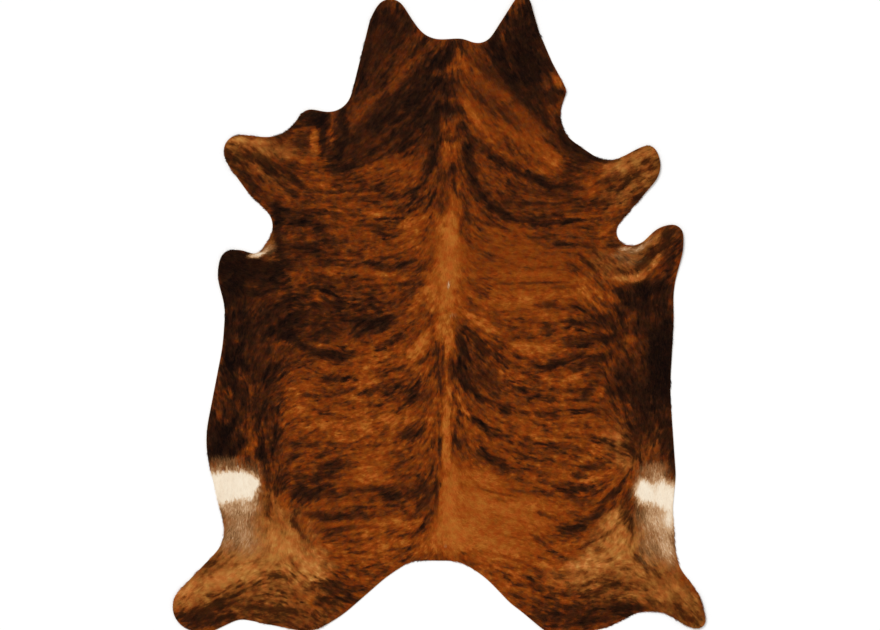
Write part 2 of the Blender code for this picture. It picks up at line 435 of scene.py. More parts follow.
# Wide soft shades of the coat, in millimetres: middle, half length, half
# width, the turn of the long side in degrees, and how much darker (or, below 0, lighter).
shades = [
    (700, -860, 60, 40, 0, -0.4), (330, 390, 180, 64, 0, 0.35), (430, -865, 120, 34, 0, 0.15),
    (385, 582, 42, 40, 0, 0.4), (428, 250, 40, 13, 0, -0.5), (-500, 570, 80, 46, 0, 0.6),
    (-645, 588, 60, 28, -10, 0.35), (-600, 470, 50, 40, -40, 0.4), (740, -920, 50, 50, 0, 0.4),
    # (-420, 650) deepens the painted shade in the crease under the left shoulder bump.
    (-570, -760, 60, 50, 0, -0.4), (855, -1000, 36, 50, 0, -0.2), (-420, 650, 60, 44, 0, 0.3),
    (-430, 540, 70, 60, 0, 0.25), (30, 660, 60, 60, 0, 0.2), (410, 790, 40, 50, 0, 0.3),
    (300, 290, 70, 50, 0, -0.2), (-180, -190, 200, 60, 0, -0.2), (540, -790, 60, 60, 0, 0.25),
    (270, 200, 200, 120, 0, 0.22), (-640, 15, 80, 90, 0, -0.35), (-715, -120, 40, 90, 0, -0.25),
    (205, 975, 70, 15, 62, 0.95), (272, 1040, 16, 30, 0, -0.5), (352, 915, 75, 22, -68, 0.6),
    (290, 770, 60, 50, 0, -0.35), (190, 655, 110, 42, -38, -0.85), (260, 725, 190, 34, -40, 0.6),
    # (-420, 682) deepens the same painted shade.
    (-85, 1010, 34, 50, 0, 0.4), (-420, 682, 70, 24, 0, 0.5), (-560, 545, 200, 70, 0, 0.2),
    (20, 905, 110, 60, 0, 0.2), (650, -60, 60, 60, 0, -0.4), (-480, -425, 120, 60, 0, 0.2),
    (-890, -1010, 40, 50, 0, -0.4), (-745, -800, 40, 30, 40, -0.5), (-210, 900, 130, 190, 0, 0.75),
    (-230, 730, 130, 90, 0, 0.35), (300, 800, 130, 130, -50, 0.6), (-20, 720, 60, 130, 0, 0.6),
    (20, 760, 60, 90, 0, 0.5), (-60, 600, 60, 80, 0, 0.3), (480, 600, 110, 80, -40, 0.8),
    (-650, -130, 110, 290, 0, 0.55), (-560, -60, 120, 140, 0, 0.4), (-370, -40, 190, 100, 0, 0.4),
    (680, -60, 110, 210, 0, 0.65), (700, -340, 100, 130, 0, 0.2), (270, 190, 240, 120, 0, -0.75),
    (330, 20, 210, 110, 0, -0.35), (240, -90, 90, 90, 0, -0.1), (190, -690, 220, 170, -10, -0.75),
    (80, -620, 90, 190, 0, -0.35), (330, -780, 200, 130, 0, -0.4), (-390, -360, 200, 110, 0, -0.45),
    (-200, -420, 190, 110, 0, -0.3), (-210, -160, 120, 100, 0, -0.45),
    (-190, -780, 220, 100, 10, -0.6), (-420, -840, 130, 80, -20, -0.4),
    (-480, -250, 90, 60, 0, -0.3), (400, -380, 260, 160, 0, -0.4), (-430, 580, 70, 110, 0, -0.2),
    (-60, 290, 70, 90, 20, -0.4), (380, 580, 110, 90, -45, -0.1), (-500, 330, 70, 130, 0, 0.5),
    (-390, 220, 190, 60, 0, 0.2), (-120, -290, 120, 130, 0, -0.4), (-700, -920, 260, 110, 25, -0.2),
    (-520, -930, 160, 110, 0, -0.2), (330, -960, 170, 80, 0, -0.5),
    (640, -860, 190, 130, -20, -0.2), (520, -560, 140, 120, 0, -0.5),
    (-430, -560, 180, 100, 0, -0.1), (-230, -560, 160, 120, 0, -0.2), (640, 520, 130, 60, 20, 0.1),
    (-350, 660, 90, 60, 0, 0.3), (-260, -960, 90, 60, 0, -0.4), (-520, 650, 60, 40, 0, 0.4),
    (170, 900, 60, 60, 0, 0.6), (-120, 720, 80, 90, 0, -0.3), (760, 530, 50, 60, 0, 0.4),
    (-190, 400, 80, 60, 0, -0.5), (423, 430, 70, 50, 0, 0.35), (470, 520, 60, 80, 0, 0.25),
    (790, 290, 50, 40, 0, 0.5), (-745, 120, 40, 110, 0, 0.7), (590, 60, 100, 60, 0, -0.5),
    (-50, -420, 50, 60, 0, -0.45), (550, -250, 60, 90, 0, 0.45), (790, -180, 50, 70, 0, 0.6),
    (-290, -300, 60, 50, 0, -0.3), (-640, -420, 60, 60, 0, -0.4), (-537, -600, 70, 100, 0, -0.35),
    (-350, -780, 110, 50, 0, 0.25), (240, -890, 90, 50, 0, -0.45), (-185, -870, 50, 30, 0, -0.9),
    # (38, 330) and (45, 200) widen the painted sheen along the spine.
    (35, 480, 45, 70, 0, 0.35), (38, 330, 26, 80, 0, -0.35), (45, 200, 66, 80, 0, -0.3),
    (-90, -350, 60, 20, 8, -0.5), (-80, -405, 50, 20, 20, 0.5), (-60, -270, 50, 40, 0, 0.35),
    (-200, 630, 120, 90, 20, -0.5), (-20, 800, 60, 70, 0, -0.5), (-510, -55, 50, 50, 0, -0.2),
    (765, -190, 50, 140, 0, 1.2), (-400, -30, 110, 50, 0, 0.3), (150, -200, 70, 80, -50, 0.2),
    (45, 660, 50, 60, 0, -0.4), (150, 680, 70, 60, 0, 0.3), (440, 530, 60, 60, 0, -0.25),
    (-190, 410, 60, 50, 0, 0.3), (-90, 440, 60, 50, 0, -0.4), (770, -320, 40, 50, 0, -0.4),
    (-650, -420, 40, 50, 0, -0.4), (600, -900, 90, 50, 0, 0.35), (-600, -1020, 110, 40, 0, 0.5),
    (830, -1010, 90, 60, 0, 0.5),
]

# Where the coat is plainer than elsewhere, in the same measures: the last number is how much.
plainShades = [
    (330, 390, 180, 64, 0, 0.25), (250, 670, 190, 90, -40, 0.45), (-290, -620, 190, 150, 0, 0.22),
    (260, 190, 250, 110, 0, 0.75), (190, -690, 190, 130, -10, 0.8), (25, 200, 50, 220, 0, 0.6),
    (40, -640, 60, 200, 0, 0.6), (280, 800, 130, 150, -40, 0.4), (-210, 950, 110, 150, 0, 0.4),
    (-190, 640, 190, 110, 20, 0.6), (330, 20, 200, 80, 0, 0.3), (-700, 150, 100, 80, 0, 0.6),
    (770, -140, 70, 220, 0, 0.5), (-760, -900, 150, 90, 28, 0.45), (800, -950, 130, 80, -50, 0.45),
    (-560, -780, 120, 80, 0, 0.6), (640, -820, 120, 80, 0, 0.3), (-620, 580, 120, 40, -10, 0.3),
    (680, 530, 100, 50, 25, 0.3), (-780, -400, 60, 110, 0, 0.4), (150, 760, 160, 110, -45, 0.2),
]

# Markings of the coat, in the same measures.
# Some rows are painted shade in creases and painted highlights on ridges, as noted in their groups.
markingsAndPaintedFoldLight = {
    "left neck": [
        (-195, 1015, 60, 30, 5, 1.1), (-240, 930, 110, 16, 75, 0.7), (-120, 985, 90, 30, 62, 0.6),
        (-185, 950, 80, 25, 70, 0.4), (-250, 860, 60, 22, 70, 0.4), (-60, 930, 60, 14, 60, 0.5),
        (-190, 860, 90, 40, 60, -0.1), (-150, 800, 90, 22, 50, -0.35),
        (-215, 755, 60, 16, 40, -0.55), (-270, 690, 60, 16, 58, -0.5),
        (-60, 965, 50, 22, 130, -0.3), (-20, 925, 40, 16, 150, -0.2), (15, 885, 62, 24, 52, 1.7),
        (-55, 810, 110, 48, 52, 1.1), (-110, 740, 120, 60, 48, 1.1), (-190, 680, 110, 52, 35, 1.1),
        (-110, 650, 90, 50, 45, 1.3), (-230, 610, 120, 62, 20, 1.0), (-330, 640, 16, 70, 0, 1.0),
        (-300, 555, 90, 60, 15, 1.0), (-340, 510, 50, 30, 0, 1.0), (-60, 700, 90, 22, 75, 0.8),
        (-150, 590, 90, 30, 28, 0.9),
    ],
    "spine": [
        # Rows below 0 here are a painted sheen on the hair parted along the spine; the rest are
        # dark flecks.
        (50, 915, 40, 12, 60, 1.2), (20, 785, 30, 26, 0, 0.9), (50, 800, 20, 9, 0, 1.0),
        (35, 740, 26, 8, -5, -0.6), (38, 705, 40, 20, -8, 1.6), (30, 845, 34, 11, 10, -1.1),
        (45, 605, 22, 9, 0, 1.2), (92, 560, 14, 44, 12, 1.3), (42, 495, 12, 26, 0, 0.9),
        (8, 370, 20, 22, 0, 0.8), (-8, 640, 14, 90, 4, 1.1), (-28, 540, 14, 60, -8, 1.0),
        (-32, 620, 30, 60, 0, 0.5), (30, 650, 22, 14, 20, -0.9), (30, 570, 26, 50, 0, -0.9),
        (50, 430, 20, 60, -6, -0.6), (45, 320, 26, 70, -8, -1.1), (15, 300, 20, 40, 20, -0.5),
        (30, 190, 44, 130, 0, -1.0), (20, 60, 44, 110, 0, -1.0), (-30, 90, 40, 60, -25, -0.6),
        (22, -60, 30, 90, 0, -1.2), (90, 60, 40, 70, 20, -0.4), (36, 250, 10, 60, 0, -0.4),
        (27, -180, 7, 80, 1, -0.8), (35, -280, 20, 60, 3, -0.9), (22, -360, 12, 80, 0, -1.1),
        (26, -460, 12, 90, -2, -1.3), (24, -440, 30, 120, 1, -0.5), (30, -620, 30, 110, -4, -0.9),
        (40, -740, 60, 90, 0, -0.6), (15, -780, 60, 60, 0, -0.4), (4, -240, 4, 110, 6, 0.9),
        (52, -260, 5, 110, -7, 0.9), (2, -440, 5, 110, 2, 1.0), (52, -430, 6, 60, -8, 0.9),
        (-8, -620, 7, 90, 0, 1.0), (60, -640, 3, 60, -14, 0.5), (15, -120, 4, 50, 6, 0.6),
    ],
    "left shoulder": [
        # These three are painted shade in the crease under the shoulder bump.
        (-440, 676, 50, 24, 5, 1.1), (-405, 655, 38, 12, -4, 1.9), (-470, 648, 40, 7, 8, 1.2),
        # (-425, 600) and (-400, 535) are painted highlights on the pucker's outer ridge.
        (-425, 600, 15, 40, 5, -0.7), (-400, 535, 14, 34, 12, -0.9), (-466, 590, 22, 40, 0, 0.4),
        # (-360, 690) is a painted highlight on the pucker's inner ridge.
        (-360, 690, 16, 14, 0, -0.6), (-450, 520, 60, 34, -30, -0.6),
        # (-505, 640) is painted shade in the crease under the shoulder bump.
        (-520, 560, 70, 26, -25, -0.5), (-505, 640, 40, 8, 18, 0.3), (-430, 480, 50, 26, 0, -0.3),
    ],
    "left foreleg": [
        # These three are painted highlights along the crest of the foreleg roll.
        (-640, 596, 70, 9, -8, -0.7), (-600, 570, 90, 20, -14, -0.45), (-700, 600, 30, 8, 0, -0.6),
        (-690, 540, 40, 30, 0, 0.5), (-640, 545, 60, 14, -20, 0.5), (-560, 515, 90, 11, -33, 1.0),
        (-490, 455, 60, 12, -28, 1.2), (-600, 505, 90, 9, -35, 0.6), (-520, 430, 60, 9, -40, 0.8),
        (-570, 450, 100, 12, -42, -0.4), (-670, 480, 90, 20, -48, 1.0),
        (-600, 410, 60, 14, -45, 0.6), (-560, 380, 50, 30, -60, 0.7),
        (-500, 395, 60, 12, -10, -0.7), (-730, 545, 14, 30, 0, 0.6),
    ],
    "left chest": [
        (-240, 400, 190, 11, 3, 0.9), (-170, 372, 80, 12, 0, 1.0), (-320, 425, 140, 6, 2, 0.9),
        (-190, 435, 60, 12, 5, 1.0), (-90, 420, 60, 10, 30, 0.9), (-260, 350, 220, 6, -5, -0.8),
        (-120, 505, 90, 22, 22, -0.5), (-230, 500, 100, 14, 8, -0.6), (-380, 450, 80, 16, 0, -0.2),
        (-170, 332, 44, 6, 4, 1.3), (-180, 292, 46, 16, 0, 0.7), (-140, 270, 60, 26, 0, -0.3),
        (-90, 315, 40, 22, 0, -0.6), (-420, 350, 90, 10, 0, 0.5), (-400, 290, 60, 9, 12, 0.8),
        (-385, 272, 44, 18, -24, 1.1), (-450, 235, 80, 16, 5, 0.8), (-420, 205, 130, 20, 0, 0.6),
        (-490, 170, 100, 20, 6, 0.8), (-553, 300, 14, 90, 0, 1.2), (-545, 225, 20, 36, 0, 1.0),
        (-500, 275, 30, 12, 20, -0.4), (-460, 320, 60, 12, 0, 0.5),
    ],
    "left back": [
        (-205, 168, 46, 11, -18, 1.4), (-115, 172, 40, 10, 32, 1.2), (-390, 152, 60, 12, -5, -0.7),
        (-360, 116, 90, 11, -3, 1.1), (-140, 104, 150, 6, 2, 1.1), (-180, 140, 50, 9, 0, -0.9),
        (-60, 60, 50, 30, 40, -0.5), (-300, 200, 130, 10, 0, -0.2), (-150, 230, 140, 18, 0, -0.1),
        (-460, 85, 34, 15, 0, 1.0), (-420, 50, 30, 9, 0, -0.4), (-375, 36, 44, 13, 0, 1.1),
        (-235, -18, 80, 30, -6, 1.3), (-250, -48, 50, 26, 20, 1.1), (-150, 30, 60, 12, 10, 0.3),
        (-480, -5, 60, 20, 20, 0.8), (-525, -50, 44, 34, 0, 1.2), (-560, 20, 50, 40, 0, 0.8),
        (-490, -92, 50, 14, -35, 1.5), (-425, -122, 60, 15, -20, 1.4), (-350, -140, 60, 15, 3, 1.5),
        (-390, -60, 60, 30, 0, 0.2), (-400, -100, 50, 12, 0, -0.6), (-560, -100, 80, 10, 3, -0.5),
        (-145, -85, 60, 13, 25, 1.4), (-60, -158, 50, 7, 35, 1.4), (-60, -100, 60, 24, 48, -1.2),
        (-200, -140, 60, 50, 0, -0.6), (-150, -190, 60, 10, 20, 0.8), (-260, -120, 40, 16, 0, -0.4),
        (-350, -216, 40, 11, 3, 1.4), (-300, -232, 90, 14, 8, -0.6), (-450, -275, 28, 11, -15, 1.5),
        (-420, -240, 60, 14, 0, -0.4), (-340, -352, 42, 8, 14, 1.3), (-150, -235, 80, 22, 20, 0.9),
        (-110, -290, 110, 26, 22, 0.8), (-430, -375, 100, 16, 0, -0.8),
        (-210, -370, 130, 20, 12, -0.5), (-490, -330, 40, 20, 0, -0.5),
        (-90, -405, 50, 22, 25, 0.8), (-260, -300, 50, 14, 10, 0.3), (-400, -440, 70, 12, 5, 0.7),
        (-500, -440, 90, 20, 0, 0.5), (-240, -450, 90, 9, 12, 0.4),
    ],
    "left flank": [
        (-710, 165, 60, 62, 0, 2.4), (-640, 150, 100, 60, 0, 2.0), (-570, 160, 60, 34, 0, 1.4),
        (-690, 60, 50, 60, 0, 1.0), (-600, 95, 80, 40, 0, 1.2), (-640, 40, 60, 40, 0, 0.6),
        (-725, 90, 30, 60, 0, 1.4), (-720, -70, 30, 80, 5, 2.2), (-690, -30, 40, 30, 0, 1.3),
        (-640, -60, 40, 60, 0, 0.8), (-600, -20, 50, 40, 0, 0.6), (-650, -120, 60, 14, 0, 0.2),
        # (-690, -250) is painted shade between the two flank creases.
        (-705, -150, 40, 50, 0, 1.7), (-690, -250, 90, 26, -57, 1.2), (-620, -190, 60, 34, 0, 0.8),
        (-745, -250, 60, 14, -58, 0.1), (-560, -260, 50, 60, 0, 0.6), (-600, -340, 60, 50, 0, 0.9),
        (-785, -330, 40, 14, -80, 1.4), (-770, -410, 40, 60, 0, 2.1), (-740, -460, 60, 34, 0, 1.9),
        (-720, -330, 40, 40, 0, 1.1), (-660, -400, 50, 40, -40, 0.8), (-580, -400, 36, 30, 0, 1.0),
        (-620, -460, 40, 30, 0, 0.6), (-755, -485, 60, 12, 0, 1.0), (-735, -425, 60, 60, 0, 1.0),
        (-700, -440, 50, 50, 0, 0.5),
    ],
    "left rump": [
        (-350, -515, 60, 24, 8, 1.4), (-420, -555, 70, 13, 0, 1.2), (-520, -545, 90, 26, -5, 0.9),
        (-250, -530, 60, 40, 0, -0.6), (-410, -612, 90, 18, 4, 1.4), (-480, -610, 50, 24, -20, 1.0),
        (-260, -600, 120, 10, 10, 1.1), (-200, -560, 50, 26, 0, -0.5),
        (-110, -600, 90, 40, 25, 0.9), (-45, -640, 60, 26, 70, 1.4), (-75, -688, 50, 12, 8, 1.6),
        (-40, -725, 26, 26, 0, 1.0), (-390, -688, 56, 17, -4, 1.8), (-290, -690, 70, 12, 4, 1.5),
        (-320, -732, 90, 10, 4, 1.2), (-330, -650, 100, 9, 12, -0.4),
        (-190, -720, 100, 14, 12, -0.5), (-250, -790, 190, 24, 8, -0.3),
        (-475, -742, 50, 8, -52, 1.1), (-600, -540, 12, 60, 15, 1.2), (-588, -655, 17, 36, 5, 1.5),
        (-560, -590, 40, 30, 0, 0.5), (-520, -660, 50, 20, -20, -0.2),
        (-560, -480, 60, 24, -10, 0.8), (-60, -790, 90, 26, 12, -0.5),
        (-400, -800, 80, 40, 0, -0.2), (-610, -480, 20, 40, 20, 0.8),
    ],
    "left hind": [
        (-545, -760, 70, 50, 0, -0.45), (-640, -830, 80, 36, 20, -0.4),
        (-600, -700, 60, 20, 0, -0.2), (-450, -850, 70, 26, -48, -0.5),
        (-345, -945, 56, 16, -20, 1.7), (-300, -925, 60, 20, -10, 1.1),
        (-290, -975, 40, 11, -10, 1.6), (-230, -880, 80, 16, 15, 0.4),
        (-380, -1000, 60, 16, -20, 0.6), (-560, -890, 60, 14, 0, 0.9), (-600, -935, 90, 24, 0, 0.6),
        (-520, -940, 60, 20, -20, 0.5), (-580, -1008, 150, 12, -5, 1.2),
        (-700, -985, 90, 16, 12, 1.3), (-805, -1025, 90, 26, 4, 2.0), (-800, -1052, 90, 26, 3, 1.3),
        (-760, -985, 60, 10, 20, 1.0), (-500, -1050, 110, 20, -6, 0.5),
        (-450, -980, 60, 20, -20, -0.4), (-780, -852, 34, 8, 25, 1.4),
        (-830, -930, 90, 26, 30, -0.7), (-700, -890, 90, 22, 20, -0.6),
        (-840, -960, 50, 8, 20, 0.4), (-870, -1040, 30, 10, -45, 1.2), (-890, -990, 20, 34, 0, 0.1),
    ],
    "right neck": [
        (275, 1000, 60, 45, 80, 2.2), (320, 1010, 60, 12, -75, 2.4), (285, 920, 70, 70, 0, 2.3),
        (265, 1065, 26, 12, -80, 0.3), (200, 930, 50, 24, -60, 1.5), (215, 860, 80, 24, -60, 1.5),
        (310, 850, 60, 40, -50, 1.8), (180, 905, 50, 5, -62, -0.8), (170, 880, 60, 5, -60, -0.4),
        (270, 780, 90, 24, -52, 1.3), (330, 770, 50, 36, -60, 1.1), (368, 868, 34, 14, -20, 0.9),
        # The first is painted shade under the right shoulder bump.
        (390, 750, 26, 34, 20, 1.0), (362, 690, 16, 44, 10, 1.1), (345, 805, 60, 8, -3, 0.3),
        # The first is a painted highlight on the right shoulder bump, and the second painted shade
        # under it.
        (405, 800, 26, 14, -62, -1.5), (420, 760, 14, 18, 0, 0.8), (120, 910, 50, 18, -58, -0.2),
        (75, 880, 60, 10, -68, -0.9), (130, 820, 90, 20, -48, -0.6), (200, 770, 60, 22, -42, -0.9),
        (270, 710, 70, 22, -45, -0.9), (100, 710, 60, 14, -60, -0.8), (150, 640, 80, 14, -52, -0.8),
        (340, 620, 90, 50, -50, -0.45), (400, 660, 26, 40, 0, 0.1), (110, 770, 40, 6, -50, 0.7),
        (150, 740, 44, 6, -50, 0.8), (215, 690, 44, 6, -48, 0.8), (250, 660, 40, 8, -45, 0.7),
        (170, 690, 60, 9, -52, 0.5), (415, 640, 10, 60, 20, 0.9),
    ],
    "right shoulder": [
        (85, 630, 30, 20, -50, 0.7), (120, 590, 40, 18, -55, 1.0), (170, 560, 60, 16, -42, 1.2),
        (240, 510, 70, 16, -32, 1.6), (330, 465, 60, 16, -22, 1.4), (410, 440, 60, 13, 0, 1.2),
        (440, 490, 30, 40, 0, 1.0), (450, 570, 30, 60, 30, 0.7), (440, 640, 60, 9, -58, 1.2),
        (500, 585, 60, 9, -32, 1.5), (540, 545, 60, 12, -20, 0.9), (500, 530, 40, 26, 0, 0.7),
        (110, 510, 20, 60, 5, 1.6), (130, 430, 24, 60, 30, 1.1), (195, 365, 70, 15, -35, 1.5),
        (180, 310, 50, 8, -20, 1.1), (300, 330, 110, 12, -2, 1.0), (425, 318, 60, 7, 8, 1.3),
        (300, 385, 110, 8, -2, 0.7), (480, 358, 90, 7, 4, 1.0), (550, 385, 50, 10, 16, 1.2),
        (250, 420, 90, 16, -30, -0.5), (380, 540, 60, 60, 0, -0.4), (170, 480, 60, 16, -45, -0.3),
        (350, 400, 80, 8, -12, -0.6), (450, 405, 70, 12, 10, -0.3), (480, 335, 110, 5, 4, -0.8),
        (520, 450, 50, 40, 40, -0.5), (230, 400, 40, 40, 0, 0.4), (300, 430, 60, 14, -25, 0.4),
    ],
    "right foreleg": [
        # These three are painted highlights along the crest of the foreleg roll.
        (640, 525, 90, 22, 22, -0.45), (710, 555, 40, 26, 30, -0.45), (600, 505, 60, 16, 10, -0.4),
        (655, 465, 40, 14, 50, 1.2), (690, 488, 40, 7, 28, 1.0), (630, 440, 30, 8, 50, 0.9),
        (710, 430, 70, 12, 50, 0.7), (660, 370, 60, 9, 48, 0.3), (620, 400, 90, 22, 45, -0.3),
        (560, 440, 60, 30, 30, 0.1), (745, 480, 14, 40, -20, -0.2), (600, 470, 50, 16, 20, 0.3),
    ],
    "right flank": [
        (560, 275, 50, 30, 0, -0.4), (600, 238, 30, 8, 10, 1.5), (595, 262, 14, 20, 0, 0.7),
        # The first two are painted shade along the crease by the roll.
        (500, 185, 44, 8, -52, 1.0), (532, 155, 30, 9, -48, 1.3), (480, 160, 26, 8, 20, 0.7),
        (500, 90, 60, 22, -45, -0.9), (540, 60, 60, 7, -50, 0.9), (560, 180, 40, 26, 0, 0.2),
        # These three are painted highlights along the crest of the right flank roll.
        (645, 126, 60, 11, 0, -1.1), (712, 150, 38, 11, 38, -1.0), (748, 192, 34, 10, 62, -1.0),
        # The first two are painted shade beside the right flank roll.
        (690, 175, 26, 12, 50, 1.0), (720, 190, 34, 10, 50, 0.9), (620, 160, 40, 16, -20, 0.2),
        (775, 250, 24, 44, -10, 1.5), (800, 195, 10, 50, -10, 1.5), (828, 235, 9, 46, -8, 0.2),
        (745, 270, 44, 10, 42, -0.4), (790, 160, 22, 34, 0, 0.4), (735, 100, 60, 28, 20, 2.0),
        (660, 85, 70, 20, 0, 1.7), (700, 40, 70, 40, 0, 1.5), (770, 60, 34, 60, 0, 1.5),
        (785, 120, 14, 20, 0, -0.3), (640, 40, 30, 40, 0, 0.9), (790, -20, 16, 50, 0, 1.6),
        (770, -120, 40, 90, -3, 2.5), (690, -30, 50, 50, 0, 0.9), (700, -130, 60, 16, 62, -0.1),
        (650, -90, 44, 26, 60, -0.2), (765, -250, 44, 60, 0, 2.3), (690, -290, 44, 90, 0, 1.9),
        (640, -250, 26, 70, 5, 1.1), (685, -400, 44, 60, 0, 1.4), (730, -370, 26, 60, 5, 0.6),
        (775, -340, 30, 30, 0, 1.4), (745, -440, 26, 26, 0, 0.2), (785, -440, 26, 60, 5, 1.9),
        (660, -460, 30, 30, 0, 1.1), (620, -60, 40, 40, 0, 0.6), (795, -520, 14, 40, 0, 1.3),
        (650, -180, 44, 34, 0, 0.6),
    ],
    "right back": [
        (125, -85, 90, 17, -46, 1.8), (82, -110, 16, 60, 8, 1.4), (150, -180, 60, 34, -50, 0.6),
        (95, -220, 60, 22, -60, 1.3), (170, -240, 60, 26, -40, 0.7), (225, -312, 80, 12, -20, 1.0),
        (150, -30, 60, 20, -30, -0.9), (320, 110, 110, 6, 2, 1.5), (230, 140, 160, 9, 0, -0.5),
        (420, 95, 60, 9, 3, 0.8), (375, 38, 40, 15, 6, 1.7), (365, -55, 17, 26, 0, 1.4),
        (300, -65, 26, 14, 0, 0.8), (250, -60, 26, 20, 0, 0.6), (340, -115, 90, 22, 0, -1.1),
        (200, -110, 26, 14, 0, 0.8), (420, -160, 110, 12, 24, 1.4), (480, -178, 28, 11, 15, 1.4),
        (560, -82, 70, 16, 8, 1.7), (545, -150, 44, 18, 20, 1.6), (500, -30, 60, 20, -5, 0.9),
        (570, -20, 44, 26, 0, 0.9), (470, -90, 50, 14, 10, 0.9), (460, -215, 50, 12, 28, -0.8),
        (330, -255, 60, 6, -6, 1.1), (450, -262, 80, 13, -3, 1.3), (500, -290, 60, 10, 0, 1.2),
        (540, -275, 34, 16, 55, -1.0), (370, -340, 60, 12, -8, 1.1), (300, -360, 90, 9, -16, 0.5),
        (380, -215, 120, 10, 0, -0.6), (250, -210, 50, 30, -30, -0.6), (400, 60, 90, 22, 0, -0.6),
        (220, 60, 120, 40, 0, -0.6), (560, -330, 50, 18, 0, 0.5), (600, -250, 26, 34, 0, 0.9),
        (540, 10, 40, 20, -20, 0.4), (440, 20, 40, 10, 0, 0.5), (170, -370, 110, 8, -28, -0.4),
        (500, -380, 90, 9, -2, 0.5), (590, -400, 40, 30, 0, -0.3), (150, 75, 16, 12, 0, 0.7),
        (280, -300, 40, 16, -10, 0.7),
    ],
    "right rump": [
        (110, -470, 60, 22, -40, 0.8), (180, -490, 60, 22, -20, 1.1), (235, -530, 50, 22, -15, 1.2),
        (320, -460, 70, 14, -20, 0.9), (400, -430, 90, 8, -20, -0.5), (450, -455, 70, 11, -8, 1.3),
        (330, -500, 60, 10, -10, 0.6), (472, -550, 26, 15, 0, 1.8), (450, -590, 70, 18, 0, 1.0),
        (480, -640, 60, 20, 0, 1.1), (520, -520, 70, 12, 5, 1.0), (595, -615, 60, 12, 44, 2.0),
        (535, -690, 70, 13, 36, 1.8), (455, -735, 44, 22, 0, 1.7), (370, -690, 40, 9, -26, 1.5),
        (490, -795, 40, 7, 32, 1.4), (365, -790, 60, 8, -36, 1.1), (570, -500, 60, 16, 30, 0.6),
        (600, -460, 50, 20, 30, 0.4), (140, -560, 90, 26, -15, -0.8),
        (200, -660, 160, 60, -10, -0.7), (150, -780, 130, 50, -15, -0.7),
        (420, -660, 40, 16, 0, -0.6), (400, -540, 60, 16, -15, 0.4), (330, -610, 90, 8, -6, 0.5),
        (200, -610, 90, 4, -14, 0.7), (250, -700, 90, 4, -14, 0.6), (260, -840, 44, 6, -18, 0.9),
        (205, -888, 50, 13, -22, 0.9), (240, -760, 60, 4, -14, 0.6), (110, -810, 30, 12, 0, 0.4),
        (430, -820, 60, 20, 0, 0.3), (640, -640, 20, 60, 0, 0.6), (380, -860, 110, 16, -6, -0.5),
    ],
    "right hind": [
        (520, -860, 90, 34, 10, -0.8), (620, -780, 60, 44, 0, -0.7), (600, -700, 40, 26, 45, -0.5),
        (330, -930, 60, 13, -12, 1.3), (440, -955, 90, 8, 5, 0.9), (550, -945, 60, 12, 26, 1.1),
        (390, -990, 90, 13, -3, 1.0), (600, -995, 90, 20, -6, 1.6), (680, -1005, 50, 14, 0, 1.6),
        (450, -1030, 120, 34, 0, 1.4), (560, -1040, 90, 26, 8, 1.2), (330, -1020, 50, 18, -40, 1.2),
        (720, -868, 60, 8, -40, 1.2), (680, -870, 50, 16, 0, 0.3), (660, -930, 60, 18, 0, 0.5),
        (760, -960, 50, 22, -50, -0.5), (830, -960, 70, 14, -58, -0.3),
        (850, -1030, 60, 10, -40, 0.5), (740, -985, 40, 12, -20, 0.7), (410, -910, 60, 14, 0, -0.5),
        (450, -880, 60, 10, 0, 0.2), (280, -960, 50, 12, -25, 0.9), (600, -900, 90, 16, 5, 0.2),
        (700, -800, 26, 60, 20, 0.2), (890, -1055, 26, 12, -40, 0.3),
    ],
}

# Markings with a crisp rim, in the same measures, among them painted shade and highlights on
# creases.
crispMarksAndPaintedCreaseLight = [
    (-225, 597, 150, 70, 22, 0.3), (-330, 590, 24, 100, 0, 0.3), (-300, 530, 62, 32, 0, 0.3),
    # These three: painted shade in the shoulder pucker's trough, then painted highlights on its two
    # ridges.
    (-397, 612, 10, 84, 0, 1.5), (-367, 622, 8, 62, 0, -0.8), (-426, 588, 13, 60, 3, -0.7),
    # The first is painted shade in the crease under the left shoulder bump.
    (-440, 676, 46, 22, 4, 0.6), (50, 505, 9, 20, 5, 0.8), (48, 462, 6, 14, 0, 0.8),
    (20, 470, 5, 30, 0, 0.6), (70, 520, 7, 26, 10, 0.7), (-62, -95, 72, 20, 52, -0.8),
    (150, -28, 62, 15, -32, -0.6), (75, -95, 66, 14, -64, 0.7), (72, -290, 70, 6, -62, -0.7),
    (124, -347, 66, 6, -26, -0.6), (60, -305, 60, 4, -66, 0.7), (102, -355, 50, 4, -40, 0.6),
    (62, -440, 46, 9, -64, 0.8), (-52, -225, 44, 7, 72, -0.6), (-8, -150, 50, 6, 80, 0.6),
    (285, 985, 70, 60, 60, 0.6), (300, 860, 60, 60, 0, 0.4), (-700, 160, 80, 60, 0, 0.3),
    # The last is painted shade beside the left flank creases.
    (770, -120, 36, 120, 0, 0.4), (-765, -430, 44, 60, 0, 0.3), (-700, -250, 90, 12, -57, 0.8),
    # (-660, -180) is painted shade beside them, and the next two are painted highlights on their
    # ridges.
    (-660, -180, 70, 6, -60, 0.5), (-690, -185, 60, 5, -55, -0.6), (-728, -255, 40, 12, -58, -0.5),
    (500, -270, 40, 12, 60, 0.6),
]

